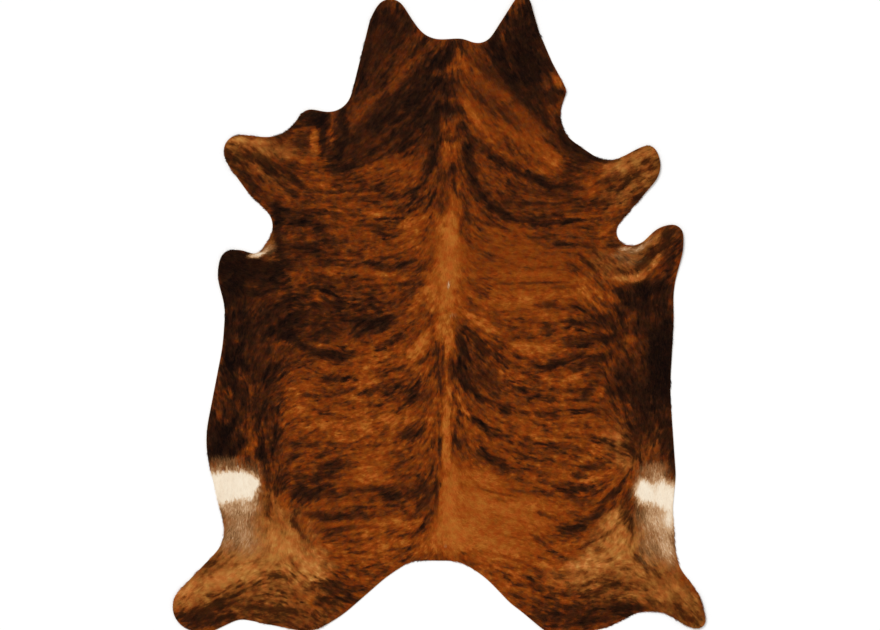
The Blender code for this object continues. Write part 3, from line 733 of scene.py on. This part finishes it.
# Where the coat is golden, where it is pale, and where pale hairs lie thinly among the brown
# ones, in the same measures: the last number is how much.
goldenMarksAndRollHighlight = [
    (-620, 580, 130, 34, -10, 0.9), (-700, 560, 40, 50, 0, 0.7), (-600, 500, 110, 40, -35, 0.35),
    (660, 530, 110, 40, 25, 0.9), (720, 500, 50, 70, -20, 0.8), (640, 440, 90, 40, 45, 0.5),
    (-620, -800, 150, 110, 20, 1.0), (-800, -930, 140, 70, 28, 1.0), (-560, -920, 130, 90, 0, 0.8),
    (-450, -860, 90, 60, -45, 0.6), (-700, -1000, 160, 50, 0, 0.5), (-520, -1040, 160, 50, 0, 0.45),
    (640, -800, 110, 100, 0, 1.0), (740, -900, 130, 90, -50, 1.0), (560, -860, 110, 60, 10, 0.65),
    (850, -1020, 110, 60, -45, 0.9), (600, -720, 60, 50, 40, 0.7), (480, -900, 110, 50, 0, 0.3),
    (600, -960, 120, 50, 0, 0.5), (640, -480, 50, 60, 60, 0.45), (740, -420, 40, 60, 0, 0.3),
    (620, 170, 80, 50, 0, 0.6), (720, 240, 80, 50, 45, 0.7), (-590, 210, 60, 40, 40, 0.6),
    # (650, 125) is a painted highlight along the crest of the right flank roll.
    (-590, -640, 40, 70, 0, 0.4), (650, 125, 60, 16, 0, 0.3), (610, -420, 50, 50, 0, 0.3),
]
paleMarks = [
    (-745, -578, 92, 48, -3, 0.8), (-690, -584, 72, 46, 0, 0.8), (-772, -604, 46, 54, 0, 0.55),
    (-664, -584, 40, 46, 0, 0.5), (-622, 206, 24, 9, 12, 0.85), (-598, 219, 16, 8, 40, 0.3),
    (740, -604, 62, 46, 0, 0.8), (790, -612, 34, 46, 0, 0.6), (798, -690, 20, 50, 0, 0.35),
    (702, -608, 30, 34, 0, 0.3), (655, 224, 46, 12, 2, 0.30), (640, 230, 24, 7, 6, 0.25),
    (700, 236, 34, 8, 30, 0.22), (650, 190, 50, 24, 0, 0.18), (720, 255, 44, 9, 42, 0.18),
    (600, 205, 26, 12, 0, 0.20), (31, 102, 4, 13, 0, 0.40), (36, 112, 5, 8, 0, 0.30),
    (46, 0, 14, 4, 10, 0.28), (22, -792, 6, 6, 0, 0.30), (36, 682, 12, 5, 20, 0.16),
]
paleShades = [
    (-690, -650, 70, 40, 0, 0.30), (-680, -735, 62, 74, 4, 0.48), (-745, -650, 40, 40, 0, 0.25),
    (-740, -760, 30, 50, 0, 0.10), (-580, 228, 26, 18, 30, 0.36), (-728, -500, 72, 17, 0, 0.27),
    (-625, -540, 24, 40, 0, 0.20), (-630, -800, 70, 40, 20, 0.16), (745, -680, 66, 50, 0, 0.52),
    (785, -760, 34, 90, 0, 0.34), (730, -770, 56, 70, 8, 0.36), (740, -528, 50, 26, 0, 0.42),
    (795, -830, 24, 50, 20, 0.25), (690, -590, 22, 50, 0, 0.3), (720, -840, 40, 50, 0, 0.12),
    (-640, -655, 36, 26, 0, 0.22), (-720, -518, 60, 10, 0, 0.12), (-745, -790, 30, 34, 30, 0.16),
]
ragNoise = Noise(9 * mm, 63)
tuftNoise = Noise(26 * mm, 64)
rims = {
    "streaks": 0.45,  # how far the brindle, the grain and the tufts break up a rim
    "grain": 0.25,
    "tufts": 0.45,
    "soft": (1.6, 0.3),  # a mark starts and is whole at these shares of its ellipse's size
    "crisp": (1.2, 0.85),
    "shade": 1.75,  # a shade ends at this share of it
    "reach": 1.9,  # and nothing reaches further than this
}


def ellipseGaps(points, row):
    # The points near one rotated ellipse, and how far out they are: 1 on its rim.
    across, along, halfLength, halfWidth, turn = row
    away = points - np.array([across, along]) * mm
    near = np.abs(away).max(axis=1) < rims["reach"] * mm * max(halfLength, halfWidth)
    lean = math.radians(turn)
    u = (away[near, 0] * math.cos(lean) + away[near, 1] * math.sin(lean)) / (halfLength * mm)
    v = (away[near, 1] * math.cos(lean) - away[near, 0] * math.sin(lean)) / (halfWidth * mm)
    return near, np.hypot(u, v)


def shadeAt(points, rows):
    # The sum of wide soft shades, each a bell over its ellipse.
    total = np.zeros(len(points))
    for *row, amount in rows:
        near, gaps = ellipseGaps(points, row)
        total[near] += amount * bell(gaps / rims["shade"])
    return total


def marksAt(points, rows, streaks, ragged, rim="soft"):
    # The sum of rotated soft ellipses, with rims broken up along the hair.
    total = np.zeros(len(points))
    rag = ragged * (rims["streaks"] * streaks + rims["grain"] * ragNoise.at(points)
                    + rims["tufts"] * tuftNoise.at(points))
    for *row, amount in rows:
        near, gaps = ellipseGaps(points, row)
        total[near] += amount * smoothStep(*rims[rim], gaps + rag[near])
    return total


tones = {
    "middle": 0.515,  # tone of the plain coat, from 0 for black to 1 for the brightest
    "streak": 0.118,  # how much the brindle adds to it
    "marking": 0.30,  # how much a marking of 1 takes from it
    "ragged": 0.30,  # how far the rims of markings are broken up
    "crispRagged": 0.10,
    "paleRagged": 0.14,
    "calmDark": 0.42,  # how much a marking of 1 calms the brindle
    "calmPlain": 0.7,  # the same for a plain shade of 1
    "brightest": (0.72, 0.28),  # tones past the first number ease off within the second
    "darkest": (0.22, 0.19),
    "most": 1.2,
}


def eased(value, knee, room):
    # The value up to the knee, and what is past it squeezed into the room beyond.
    past = np.clip(value - knee, 0, None)
    return np.minimum(value, knee) + room * (1 - np.exp(-past / room))


def toneAt(points):
    # Three numbers for each point: how bright the coat is, how golden, and how pale.
    streaks = streaksAt(points)
    # Besides the coat's markings, these rows paint shade in creases, highlights on ridges and a
    # sheen along the spine.
    rows = [row for group in markingsAndPaintedFoldLight.values() for row in group]
    dark = marksAt(points, rows, streaks, tones["ragged"])
    dark = dark + marksAt(points, crispMarksAndPaintedCreaseLight, streaks, tones["crispRagged"], "crisp")
    # Where dark markings overlap, the sum grows more and more slowly.
    dark = np.where(dark > 0, np.sqrt(1 + 2 * dark) - 1, dark) + shadeAt(points, shades)
    golden = marksAt(points, goldenMarksAndRollHighlight, streaks, tones["ragged"])
    pale = marksAt(points, paleMarks, streaks, tones["paleRagged"]) + shadeAt(points, paleShades)
    calm = 1 - tones["calmDark"] * np.clip(dark, 0, 1)
    calm = calm - tones["calmPlain"] * np.clip(shadeAt(points, plainShades), 0, 1)
    bright = tones["middle"] + tones["streak"] * calm * streaks - tones["marking"] * dark
    bright = eased(bright, *tones["brightest"])
    knee, room = tones["darkest"]
    bright = np.clip(-eased(-bright, -knee, room), 0, tones["most"])
    return np.stack([bright, np.clip(golden, 0, 1), np.clip(pale, 0, 1)], axis=1)


def addMesh(name, spots, quads, triangles):
    # A mesh from arrays: the quads come first and the triangles after them.
    mesh = bpy.data.meshes.new(name)
    corners = np.concatenate([quads.ravel(), triangles.ravel()]).astype(np.int32)
    sizes = np.concatenate([np.full(len(quads), 4), np.full(len(triangles), 3)])
    starts = np.concatenate([[0], np.cumsum(sizes)[:-1]]).astype(np.int32)
    mesh.vertices.add(len(spots))
    mesh.vertices.foreach_set("co", spots.astype(np.float32).ravel())
    mesh.loops.add(len(corners))
    mesh.loops.foreach_set("vertex_index", corners)
    mesh.polygons.add(len(sizes))
    mesh.polygons.foreach_set("loop_start", starts)
    mesh.update(calc_edges=True)
    mesh.validate()
    mesh.shade_smooth()
    piece = bpy.data.objects.new(name, mesh)
    bpy.context.scene.collection.objects.link(piece)
    return piece, corners


def addMap(mesh, name, spots):
    # A UV map from one pair of numbers for each face corner.
    mesh.uv_layers.new(name=name, do_init=False)
    mesh.uv_layers[name].uv.foreach_set("vector", spots.astype(np.float32).ravel())


def addTones(mesh, values):
    # The coat's three numbers for each point, which its materials read.
    mesh.attributes.new("coatTone", "FLOAT_VECTOR", "POINT")
    mesh.attributes["coatTone"].data.foreach_set("vector", values.astype(np.float32).ravel())


def planMap(spots):
    # Where each point lies on the hide's plan, from 0 to 1 along its longer side.
    margin = sheet["mapMargin"]
    size = max(solidHigh.x - solidLow.x, solidHigh.y - solidLow.y) + 2 * margin
    return (spots[:, :2] - np.array([solidLow.x, solidLow.y]) + margin) / size


class Socket:
    # One output of a shader node, so that shader maths reads as Python expressions.
    def __init__(self, tree, output=None):
        self.tree = tree
        self.output = output

    def node(self, kind, settings=None, inputs=None, result=0):
        made = self.tree.nodes.new("ShaderNode" + kind)
        for name, value in (settings or {}).items():
            setattr(made, name, value)
        for name, value in (inputs or {}).items():
            if isinstance(value, Socket):
                self.tree.links.new(value.output, made.inputs[name])
            else:
                made.inputs[name].default_value = value
        return Socket(self.tree, made.outputs[result])

    def maths(self, operation, first, second):
        return self.node("Math", {"operation": operation}, {0: first, 1: second})

    def __add__(self, other):
        return self.maths("ADD", self, other)

    def __radd__(self, other):
        return self.maths("ADD", other, self)

    def __sub__(self, other):
        return self.maths("SUBTRACT", self, other)

    def __rsub__(self, other):
        return self.maths("SUBTRACT", other, self)

    def __mul__(self, other):
        return self.maths("MULTIPLY", self, other)

    def __rmul__(self, other):
        return self.maths("MULTIPLY", other, self)

    def cloud(self, scale, detail):
        # Cloudy values from 0 to 1 over this place.
        return self.node("TexNoise", inputs={"Vector": self, "Scale": scale, "Detail": detail})

    def between(self, low, high):
        # 0 where this value is at low or under it, 1 at high or over it.
        return self.node("MapRange", {"clamp": True}, {0: self, 1: low, 2: high})

    def mix(self, first, second):
        # This value blends two colours.
        return self.node("Mix", {"data_type": "RGBA", "clamp_factor": True},
                         {0: self, 6: first, 7: second}, 2)

    def times(self, other):
        # One colour multiplied by another.
        return self.node("Mix", {"data_type": "RGBA", "blend_type": "MULTIPLY"},
                         {0: 1.0, 6: self, 7: other}, 2)

    def bump(self, strength, distance):
        # The surface raised by this value.
        return self.node("Bump", inputs={
            "Strength": strength, "Distance": distance, "Height": self})

    def ramp(self, stops):
        # This value picks a colour between the stops, each a place and a linear colour.
        made = self.tree.nodes.new("ShaderNodeValToRGB")
        band = made.color_ramp
        while len(band.elements) < len(stops):
            band.elements.new(1.0)
        for element, (place, colour) in zip(band.elements, stops):
            element.position = place
            element.color = (*colour, 1.0)
        self.tree.links.new(self.output, made.inputs[0])
        return Socket(self.tree, made.outputs[0])


def newMaterial(name):
    # A material, its surface shader, and a socket to start its nodes from.
    material = bpy.data.materials.new(name)
    material.use_nodes = True
    surface = material.node_tree.nodes["Principled BSDF"]
    return material, surface, Socket(material.node_tree)


def joinTo(surface, **sockets):
    # Links what varies to the surface, and sets plain values on its own sockets.
    for name, value in sockets.items():
        target = surface.inputs[name.replace("_", " ")]
        if isinstance(value, Socket):
            value.tree.links.new(value.output, target)
        else:
            target.default_value = value


coatLook = {
    "rust": [  # tones of the brindle, darkest first
        (0.00, (0.0030, 0.0006, 0.0002)),
        (0.08, (0.0120, 0.0034, 0.0008)),
        (0.18, (0.0240, 0.0066, 0.0013)),
        (0.36, (0.0560, 0.0123, 0.0012)),
        (0.52, (0.1120, 0.0222, 0.0016)),
        (0.68, (0.1810, 0.0325, 0.0012)),
        (0.84, (0.2720, 0.0550, 0.0034)),
        (1.00, (0.4200, 0.1200, 0.0160)),
    ],
    "dusty": [  # the same with grey hairs among them
        (0.00, (0.0044, 0.0012, 0.0006)),
        (0.08, (0.0150, 0.0044, 0.0016)),
        (0.18, (0.0290, 0.0080, 0.0028)),
        (0.36, (0.0600, 0.0142, 0.0038)),
        (0.52, (0.1110, 0.0255, 0.0054)),
        (0.68, (0.1800, 0.0372, 0.0036)),
        (0.84, (0.2700, 0.0610, 0.0052)),
        (1.00, (0.4200, 0.1200, 0.0160)),
    ],
    "golden": [  # the same on the legs
        (0.00, (0.0160, 0.0046, 0.0008)),
        (0.25, (0.0640, 0.0165, 0.0022)),
        (0.45, (0.1700, 0.0470, 0.0065)),
        (0.62, (0.3000, 0.0970, 0.0170)),
        (0.80, (0.4300, 0.1550, 0.0310)),
        (1.00, (0.5900, 0.2600, 0.0720)),
    ],
    "pale": [  # from taupe to white
        (0.00, (0.150, 0.0620, 0.0170)),
        (0.35, (0.360, 0.1700, 0.0620)),
        (0.60, (0.560, 0.3400, 0.1800)),
        (0.80, (0.800, 0.6500, 0.4800)),
        (1.00, (0.900, 0.7900, 0.6300)),
    ],
    "redder": (1.0, 0.80, 0.72, 1.0),  # the coat's colour wanders between these two tints
    "yellower": (1.0, 1.13, 1.10, 1.0),
    "hueCloud": (46.0, 4.0),  # scale and detail of the cloud that it wanders by
    "hueTurn": (0.36, 0.64),  # the cloud's values where it turns from one to the other
    "dustCloud": (85.0, 2.0),  # the same for the grey hairs
    "dustTurn": (0.42, 0.66),
    "speckCloud": (240.0, 2.0),
    "speckTone": 0.10,  # how much tone the specks add
    "fibreWidth": 0.55,  # of the finest hair shown, in millimetres
    "fibreLength": 16.0,
    "fibreCloud": (1.0, 2.0),
    "fibreTone": 0.20,  # how much tone the fibres add
    "rootCloud": (900.0, 1.0),  # stands for the fibres among the roots
    # The roots are lightened as painted light, to lift the shade that falls between the locks.
    "rootTone": 0.10,  # how much brighter the roots are
    "paleShare": 0.92,  # how far paleness, the fibres and the brown tone whiten pale hair
    "paleFibre": 0.30,
    "paleBrown": 0.16,
    "paleRagged": 0.30,  # how far fibres break up the edge of a pale patch
    "paleTurn": (0.05, 0.60),
    "bump": (0.35, 0.3 * mm),  # strength and height
    "roughness": 0.52,
    "fibreRoughness": 0.2,
    "gloss": 0.03,
}


def coatMaterial(name, deep):
    # Hair: the tone of each lock picks its colour, and fibres drawn out along the lock
    # lighten and darken it. Deep is for the roots, which show between the locks.
    look = coatLook
    material, surface, start = newMaterial(name)
    tone = start.node("Attribute", {"attribute_name": "coatTone"}, result="Vector")
    brown = tone.node("SeparateXYZ", inputs={0: tone})
    golden = Socket(brown.tree, brown.output.node.outputs[1])
    pale = Socket(brown.tree, brown.output.node.outputs[2])
    place = start.node("TexCoord", result="Object")
    if deep:
        fibre = place.cloud(*look["rootCloud"])
    else:
        lock = start.node("UVMap", {"uv_map": "lock"})
        drawn = start.node("VectorMath", {"operation": "MULTIPLY"}, {
            0: lock, 1: (1 / look["fibreWidth"], 1 / look["fibreLength"], 1.0)})
        fibre = drawn.cloud(*look["fibreCloud"])
    hair = fibre - 0.5
    speck = place.cloud(*look["speckCloud"]) - 0.5
    bright = brown + hair * look["fibreTone"] + speck * look["speckTone"]
    # Painted light: the roots are lightened against the shade between the locks.
    if deep:
        bright = bright + look["rootTone"]
    dust = place.cloud(*look["dustCloud"]).between(*look["dustTurn"])
    colour = dust.mix(bright.ramp(look["rust"]), bright.ramp(look["dusty"]))
    colour = golden.mix(colour, bright.ramp(look["golden"]))
    hue = place.cloud(*look["hueCloud"]).between(*look["hueTurn"])
    colour = colour.times(hue.mix(look["redder"], look["yellower"]))
    white = pale * look["paleShare"] + hair * look["paleFibre"] + (brown - 0.5) * look["paleBrown"]
    edge = (pale + hair * look["paleRagged"]).between(*look["paleTurn"])
    colour = edge.mix(colour, white.ramp(look["pale"]))
    joinTo(surface, Base_Color=colour, Normal=fibre.bump(*look["bump"]),
           Roughness=fibre * look["fibreRoughness"] + look["roughness"],
           Specular_IOR_Level=look["gloss"])
    return material


suedeLook = {
    "light": (0.56, 0.46, 0.34, 1.0),
    "dark": (0.36, 0.27, 0.18, 1.0),
    "stainCloud": (9.0, 5.0),  # scale and detail
    "stainTurn": (0.3, 0.7),
    "napCloud": (700.0, 3.0),
    "napTone": 0.5,
    "bump": (0.5, 0.4 * mm),  # strength and height
    "roughness": 0.83,
    "napRoughness": 0.1,
    "gloss": 0.25,
    "sheen": 0.15,
}


def suedeMaterial():
    # The flesh side and the cut edge: cream suede with a fine nap and soft cloudy stains.
    look = suedeLook
    material, surface, start = newMaterial("suede")
    place = start.node("TexCoord", result="Object")
    nap = place.cloud(*look["napCloud"])
    stains = place.cloud(*look["stainCloud"]) + (nap - 0.5) * look["napTone"]
    stains = stains.between(*look["stainTurn"])
    joinTo(surface, Base_Color=stains.mix(look["dark"], look["light"]),
           Roughness=nap * look["napRoughness"] + look["roughness"],
           Normal=nap.bump(*look["bump"]), Specular_IOR_Level=look["gloss"],
           Sheen_Weight=look["sheen"])
    return material


def evenGrid(step, stray, rng):
    # Points of an even triangular grid over the hide, each moved a little at random.
    lanes = np.arange(solidLow.y, solidHigh.y, step * math.sqrt(3) / 2)
    across = np.arange(solidLow.x, solidHigh.x, step)
    x, y = np.meshgrid(across, lanes)
    x = x + step / 2 * (np.arange(len(lanes)) % 2)[:, None]
    grid = np.stack([x.ravel(), y.ravel()], axis=1)
    return grid + rng.uniform(-stray, stray, grid.shape) * step


def skinSheet():
    # The tanned skin: its outline filled with an even triangular grid, as an underside, a
    # top a skin's thickness over it, and a cut edge that bulges a little between them.
    edge = evenLine(outline - outlineOut * sheet["inset"], sheet["edgeStep"], sheet["edgeEase"])
    step = sheet["skinStep"]
    grid = evenGrid(step, sheet["skinStray"], np.random.default_rng(sheet["seed"]))
    grid = grid[clearOf(grid) > sheet["inset"] + step * sheet["skinClear"]]
    flat = np.concatenate([edge, grid])
    rim = [(i, (i + 1) % len(edge)) for i in range(len(edge))]
    insideOnly = 1  # the filling keeps only the triangles inside the edge
    filled = delaunay_2d_cdt(flat.tolist(), rim, [], insideOnly, sheet["samePoint"])
    flat = np.array([tuple(spot) for spot in filled[0]])
    faces = np.array(filled[2])
    foot = riseOf(flat)
    count, ring = len(flat), len(edge)
    under = np.column_stack([flat, foot])
    top = np.column_stack([flat, foot + sheet["thickness"]])
    bulge = edge + outward(edge) * sheet["edgeRound"]
    middle = np.column_stack([bulge, foot[:ring] + sheet["thickness"] / 2])
    spots = np.concatenate([under, top, middle])
    here = np.arange(ring)
    there = (here + 1) % ring
    quads = np.concatenate([
        np.stack([here, there, there + 2 * count, here + 2 * count], axis=1),
        np.stack([here + 2 * count, there + 2 * count, there + count, here + count], axis=1),
    ])
    triangles = np.concatenate([faces[:, ::-1], faces + count])
    piece, corners = addMesh("hideSkin", spots, quads, triangles)
    print("skin:", len(spots), "points,", len(triangles) + 2 * len(quads), "triangles")
    tone = np.zeros((len(spots), 3))
    tone[count : 2 * count] = toneAt(flat)
    tone[count : 2 * count, 0] += mottleAt(flat) * mottle["roots"]
    addTones(piece.data, tone)
    # The top lies on the left half of the map and the underside on the right half. The cut
    # edge is drawn out round the top: its middle goes 3 mm out and its foot 6 mm.
    plan = planMap(spots) * (0.5, 1.0)
    plan[:count, 0] += 0.5
    plan[2 * count :] = planMap(edge + outward(edge) * 3 * mm) * (0.5, 1.0)
    drawn = planMap(edge + outward(edge) * 6 * mm) * (0.5, 1.0)
    charts = plan[corners]
    lowerCorners = np.tile([True, True, False, False], ring)
    charts[: 4 * ring][lowerCorners] = drawn[np.stack([here, there], axis=1).ravel()]
    addMap(piece.data, "OFBake", charts)
    piece.data.materials.append(coatMaterial("coat roots", True))
    piece.data.materials.append(suedeMaterial())
    which = np.zeros(len(quads) + len(triangles), np.int32)
    which[: len(quads) + len(faces)] = 1  # the cut edge and the underside are suede
    piece.data.polygons.foreach_set("material_index", which)
    return piece


coat = {
    "spacing": 3.35 * mm,  # between the roots
    "rootStray": 0.45,  # how far a root strays, in spacings
    "rootClear": 1.6 * mm,  # between the roots and the cut edge
    "sink": 0.1 * mm,  # how deep the roots stand in the skin
    "length": 23 * mm,  # of a lock
    "lengths": (0.72, 1.2),  # the shortest and the longest, as shares of it
    "width": 2.7 * mm,
    "widths": (0.75, 1.25),
    "rootWidth": 1.1,  # share of its width at the root
    "rimWidth": 0.45,  # share of it for locks that end at the outline
    "rimReach": 16 * mm,  # locks that end this far inside have it all
    "lift": 0.5 * mm,  # how high its middle stands over the skin
    "tipLift": 0.25 * mm,
    "tipLifts": (0.6, 1.4),
    "puffByPlace": 0.28,  # how much the lifts differ from place to place, and by chance
    "puffByChance": 0.22,
    "puffs": (0.35, 1.9),  # the least and the most of them
    "drop": 1.6 * mm,  # how far tips sink that pass the cut edge
    "dropReach": 9 * mm,  # by this much
    "spread": 9.0,  # degrees that a lock strays from its neighbours
    "ownSpread": 0.8,  # shares of that: by itself, in small clumps and in wide ones
    "clumpSpread": 0.5,
    "wideSpread": 0.35,
    "roll": 9.0,  # degrees that it leans sideways
    "overhang": -0.3 * mm,  # how far tips may pass the outline
    "shorten": 1.25,  # how much shorter a lock is for what it would pass that by
    "shortest": 0.12,  # share of its length that it keeps
    "toneAt": 0.45,  # where on its length its tone is read
    "toneStray": 0.022,  # how unlike its neighbours' its tone and its paleness are
    "paleStray": 0.32,
    "mapMargin": 2 * mm,
    "seed": 5,
}
coatNames = ["coatHind", "coatRump", "coatBack", "coatChest", "coatNeck"]
clumpNoise = Noise(13 * mm, 71)
wideClumpNoise = Noise(32 * mm, 72)
puffNoise = Noise(18 * mm, 73)
# The five corners of a lock: which of its three points, hand, and place on the lock's map.
lockCorners = [
    ("root", 1, (-0.55, 0)), ("root", -1, (0.55, 0)), ("middle", -1, (0.5, 0.5)),
    ("middle", 1, (-0.5, 0.5)), ("tip", 1, (0, 1)),
]


def turned(direction, angle):
    # Unit vectors turned by an angle each, in radians.
    c, s = np.cos(angle), np.sin(angle)
    return np.stack([direction[:, 0] * c - direction[:, 1] * s,
                     direction[:, 0] * s + direction[:, 1] * c], axis=1)


def lockShapes(rng):
    # Each lock is a ribbon of two steps: it leaves the skin, bends over with the hair round
    # it, and its point comes down again.
    roots = evenGrid(coat["spacing"], coat["rootStray"], rng)
    roots = roots[clearOf(roots) > sheet["inset"] + coat["rootClear"]]
    count = len(roots)
    clump = coat["clumpSpread"] * clumpNoise.at(roots)
    clump = clump + coat["wideSpread"] * wideClumpNoise.at(roots)
    stray = np.radians(coat["spread"]) * (coat["ownSpread"] * rng.normal(size=count) + clump)
    length = coat["length"] * rng.uniform(*coat["lengths"], count)
    first = turned(flowAt(roots), stray)
    middle = roots + first * (0.5 * length)[:, None]
    second = turned(flowAt(middle), stray * 0.5)
    second *= np.where((second * first).sum(axis=1) < 0, -1, 1)[:, None]
    tip = middle + second * (0.5 * length)[:, None]
    # Locks that would pass the outline are shorter.
    over = -np.minimum(clearOf(tip), clearOf(middle)) - coat["overhang"]
    keep = 1 - np.clip(over, 0, None) * coat["shorten"] / length
    keep = np.clip(keep, coat["shortest"], 1)[:, None]
    middle = roots + (middle - roots) * keep
    tip = roots + (tip - roots) * keep
    puff = 1 + coat["puffByPlace"] * puffNoise.at(roots)
    puff = np.clip(puff + coat["puffByChance"] * rng.normal(size=count), *coat["puffs"])
    skin = sheet["thickness"]
    drop = smoothStep(0, coat["dropReach"], sheet["inset"] - clearOf(tip)) * coat["drop"]
    tipLift = coat["tipLift"] * puff * rng.uniform(*coat["tipLifts"], count)
    side = np.stack([-first[:, 1], first[:, 0]], axis=1)
    roll = np.radians(coat["roll"]) * rng.normal(size=count)
    half = coat["width"] / 2 * rng.uniform(*coat["widths"], count)
    inner = smoothStep(0, coat["rimReach"], clearOf(tip))
    half *= coat["rimWidth"] + (1 - coat["rimWidth"]) * inner
    acrossFlat = side * (half * np.cos(roll))[:, None]
    acrossUp = half * np.sin(roll)
    points = {  # place, height, and share of the width
        "root": (roots, riseOf(roots) + skin - coat["sink"], coat["rootWidth"]),
        "middle": (middle, riseOf(middle) + skin + coat["lift"] * puff, 1.0),
        "tip": (tip, riseOf(tip) + skin + tipLift - drop, 0.0),
    }
    start = rng.uniform(0, 400, (count, 2))  # where its fibres are read, in millimetres
    spots = np.empty((count, 5, 3))
    lockMap = np.empty((count, 5, 2))
    for corner, (name, hand, (u, v)) in enumerate(lockCorners):
        centre, height, share = points[name]
        spots[:, corner, :2] = centre + acrossFlat * (share * hand)
        spots[:, corner, 2] = height + acrossUp * (share * hand)
        lockMap[:, corner, 0] = start[:, 0] + u * coat["width"] / mm
        lockMap[:, corner, 1] = start[:, 1] + v * coat["length"] / mm
    tone = toneAt(roots + first * (coat["toneAt"] * length)[:, None])
    tone[:, 0] += coat["toneStray"] * rng.normal(size=count)
    tone[:, 2] += coat["paleStray"] * tone[:, 2] * (1 - tone[:, 2]) * rng.normal(size=count)
    tone = np.repeat(tone, 5, axis=0)
    grain = mottleAt(spots.reshape(-1, 3)[:, :2])
    tone[:, 0] += grain * np.clip(tone[:, 0] / mottle["full"], mottle["dark"], 1)
    return spots, lockMap, tone.reshape(count, 5, 3)


def coatPieces():
    # The locks in bands from the hind end to the neck, as many in each.
    spots, lockMap, tone = lockShapes(np.random.default_rng(coat["seed"]))
    material = coatMaterial("brindle coat", False)
    pieces = []
    for name, band in zip(coatNames, np.array_split(np.argsort(spots[:, 0, 1]), len(coatNames))):
        first = np.arange(len(band))[:, None] * 5
        points = spots[band].reshape(-1, 3)
        piece, corners = addMesh(name, points, first + [2, 3, 0, 1], first + [2, 4, 3])
        addTones(piece.data, tone[band].reshape(-1, 3))
        addMap(piece.data, "lock", lockMap[band].reshape(-1, 2)[corners])
        low = points[:, :2].min(axis=0) - coat["mapMargin"]
        size = points[:, :2].max(axis=0) + coat["mapMargin"] - low
        addMap(piece.data, "OFBake", ((points[:, :2] - low) / size)[corners])
        piece.data.materials.append(material)
        pieces.append(piece)
        print(name + ":", len(band), "locks")
    return pieces


skin = skinSheet()
locks = coatPieces()
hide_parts("hide")
for piece in [skin, *locks]:
    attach(piece, "root")

studio = {
    "lens": 100.0,
    "sensor": 36.0,
    "shown": 3.0184,  # metres of floor across the picture
    "middle": (0.0034, 0.0),
    "floorSide": 30.0,
    "floorDrop": 0.3 * mm,  # keeps the floor just under the skin
    "floorColour": (0.93, 0.93, 0.93, 1.0),
    "floorRoughness": 0.9,
    "floorGloss": 0.1,
    "skyColour": (1.0, 1.0, 1.0, 1.0),
    "sky": 0.66,
    "sun": 1.75,
    "sunFrom": (-2.6, 3.0, 5.0),
    "sunSpread": 28.0,  # degrees that the light is soft over
}


def addSun():
    # One soft light from the upper left, that falls the same all over the hide.
    light = bpy.data.lights.new("soft light", "SUN")
    light.energy = studio["sun"]
    light.angle = math.radians(studio["sunSpread"])
    made = bpy.data.objects.new("soft light", light)
    made.rotation_mode = "QUATERNION"
    made.rotation_quaternion = Vector(studio["sunFrom"]).to_track_quat("Z", "Y")
    bpy.context.scene.collection.objects.link(made)


def addStudio():
    # A white floor, an even pale sky, one soft light, and a camera that looks straight down.
    half = studio["floorSide"] / 2
    corners = np.array([(-half, -half, 0), (half, -half, 0), (half, half, 0), (-half, half, 0)])
    corners[:, 2] = -studio["floorDrop"]
    floor, _ = addMesh("floor", corners, np.array([[0, 1, 2, 3]]), np.empty((0, 3), int))
    material, surface, _ = newMaterial("floor white")
    joinTo(surface, Base_Color=studio["floorColour"], Roughness=studio["floorRoughness"],
           Specular_IOR_Level=studio["floorGloss"])
    floor.data.materials.append(material)
    world = bpy.data.worlds.new("studio")
    world.use_nodes = True
    sky = world.node_tree.nodes["Background"]
    sky.inputs["Color"].default_value = studio["skyColour"]
    sky.inputs["Strength"].default_value = studio["sky"]
    bpy.context.scene.world = world
    addSun()
    camera = bpy.data.cameras.new("camera")
    camera.lens = studio["lens"]
    camera.sensor_width = studio["sensor"]
    made = bpy.data.objects.new("camera", camera)
    distance = studio["shown"] * studio["lens"] / studio["sensor"]
    made.location = (*studio["middle"], distance)
    bpy.context.scene.collection.objects.link(made)
    bpy.context.scene.camera = made
    bpy.context.scene.view_settings.view_transform = "Standard"


addStudio()
print("studio done")
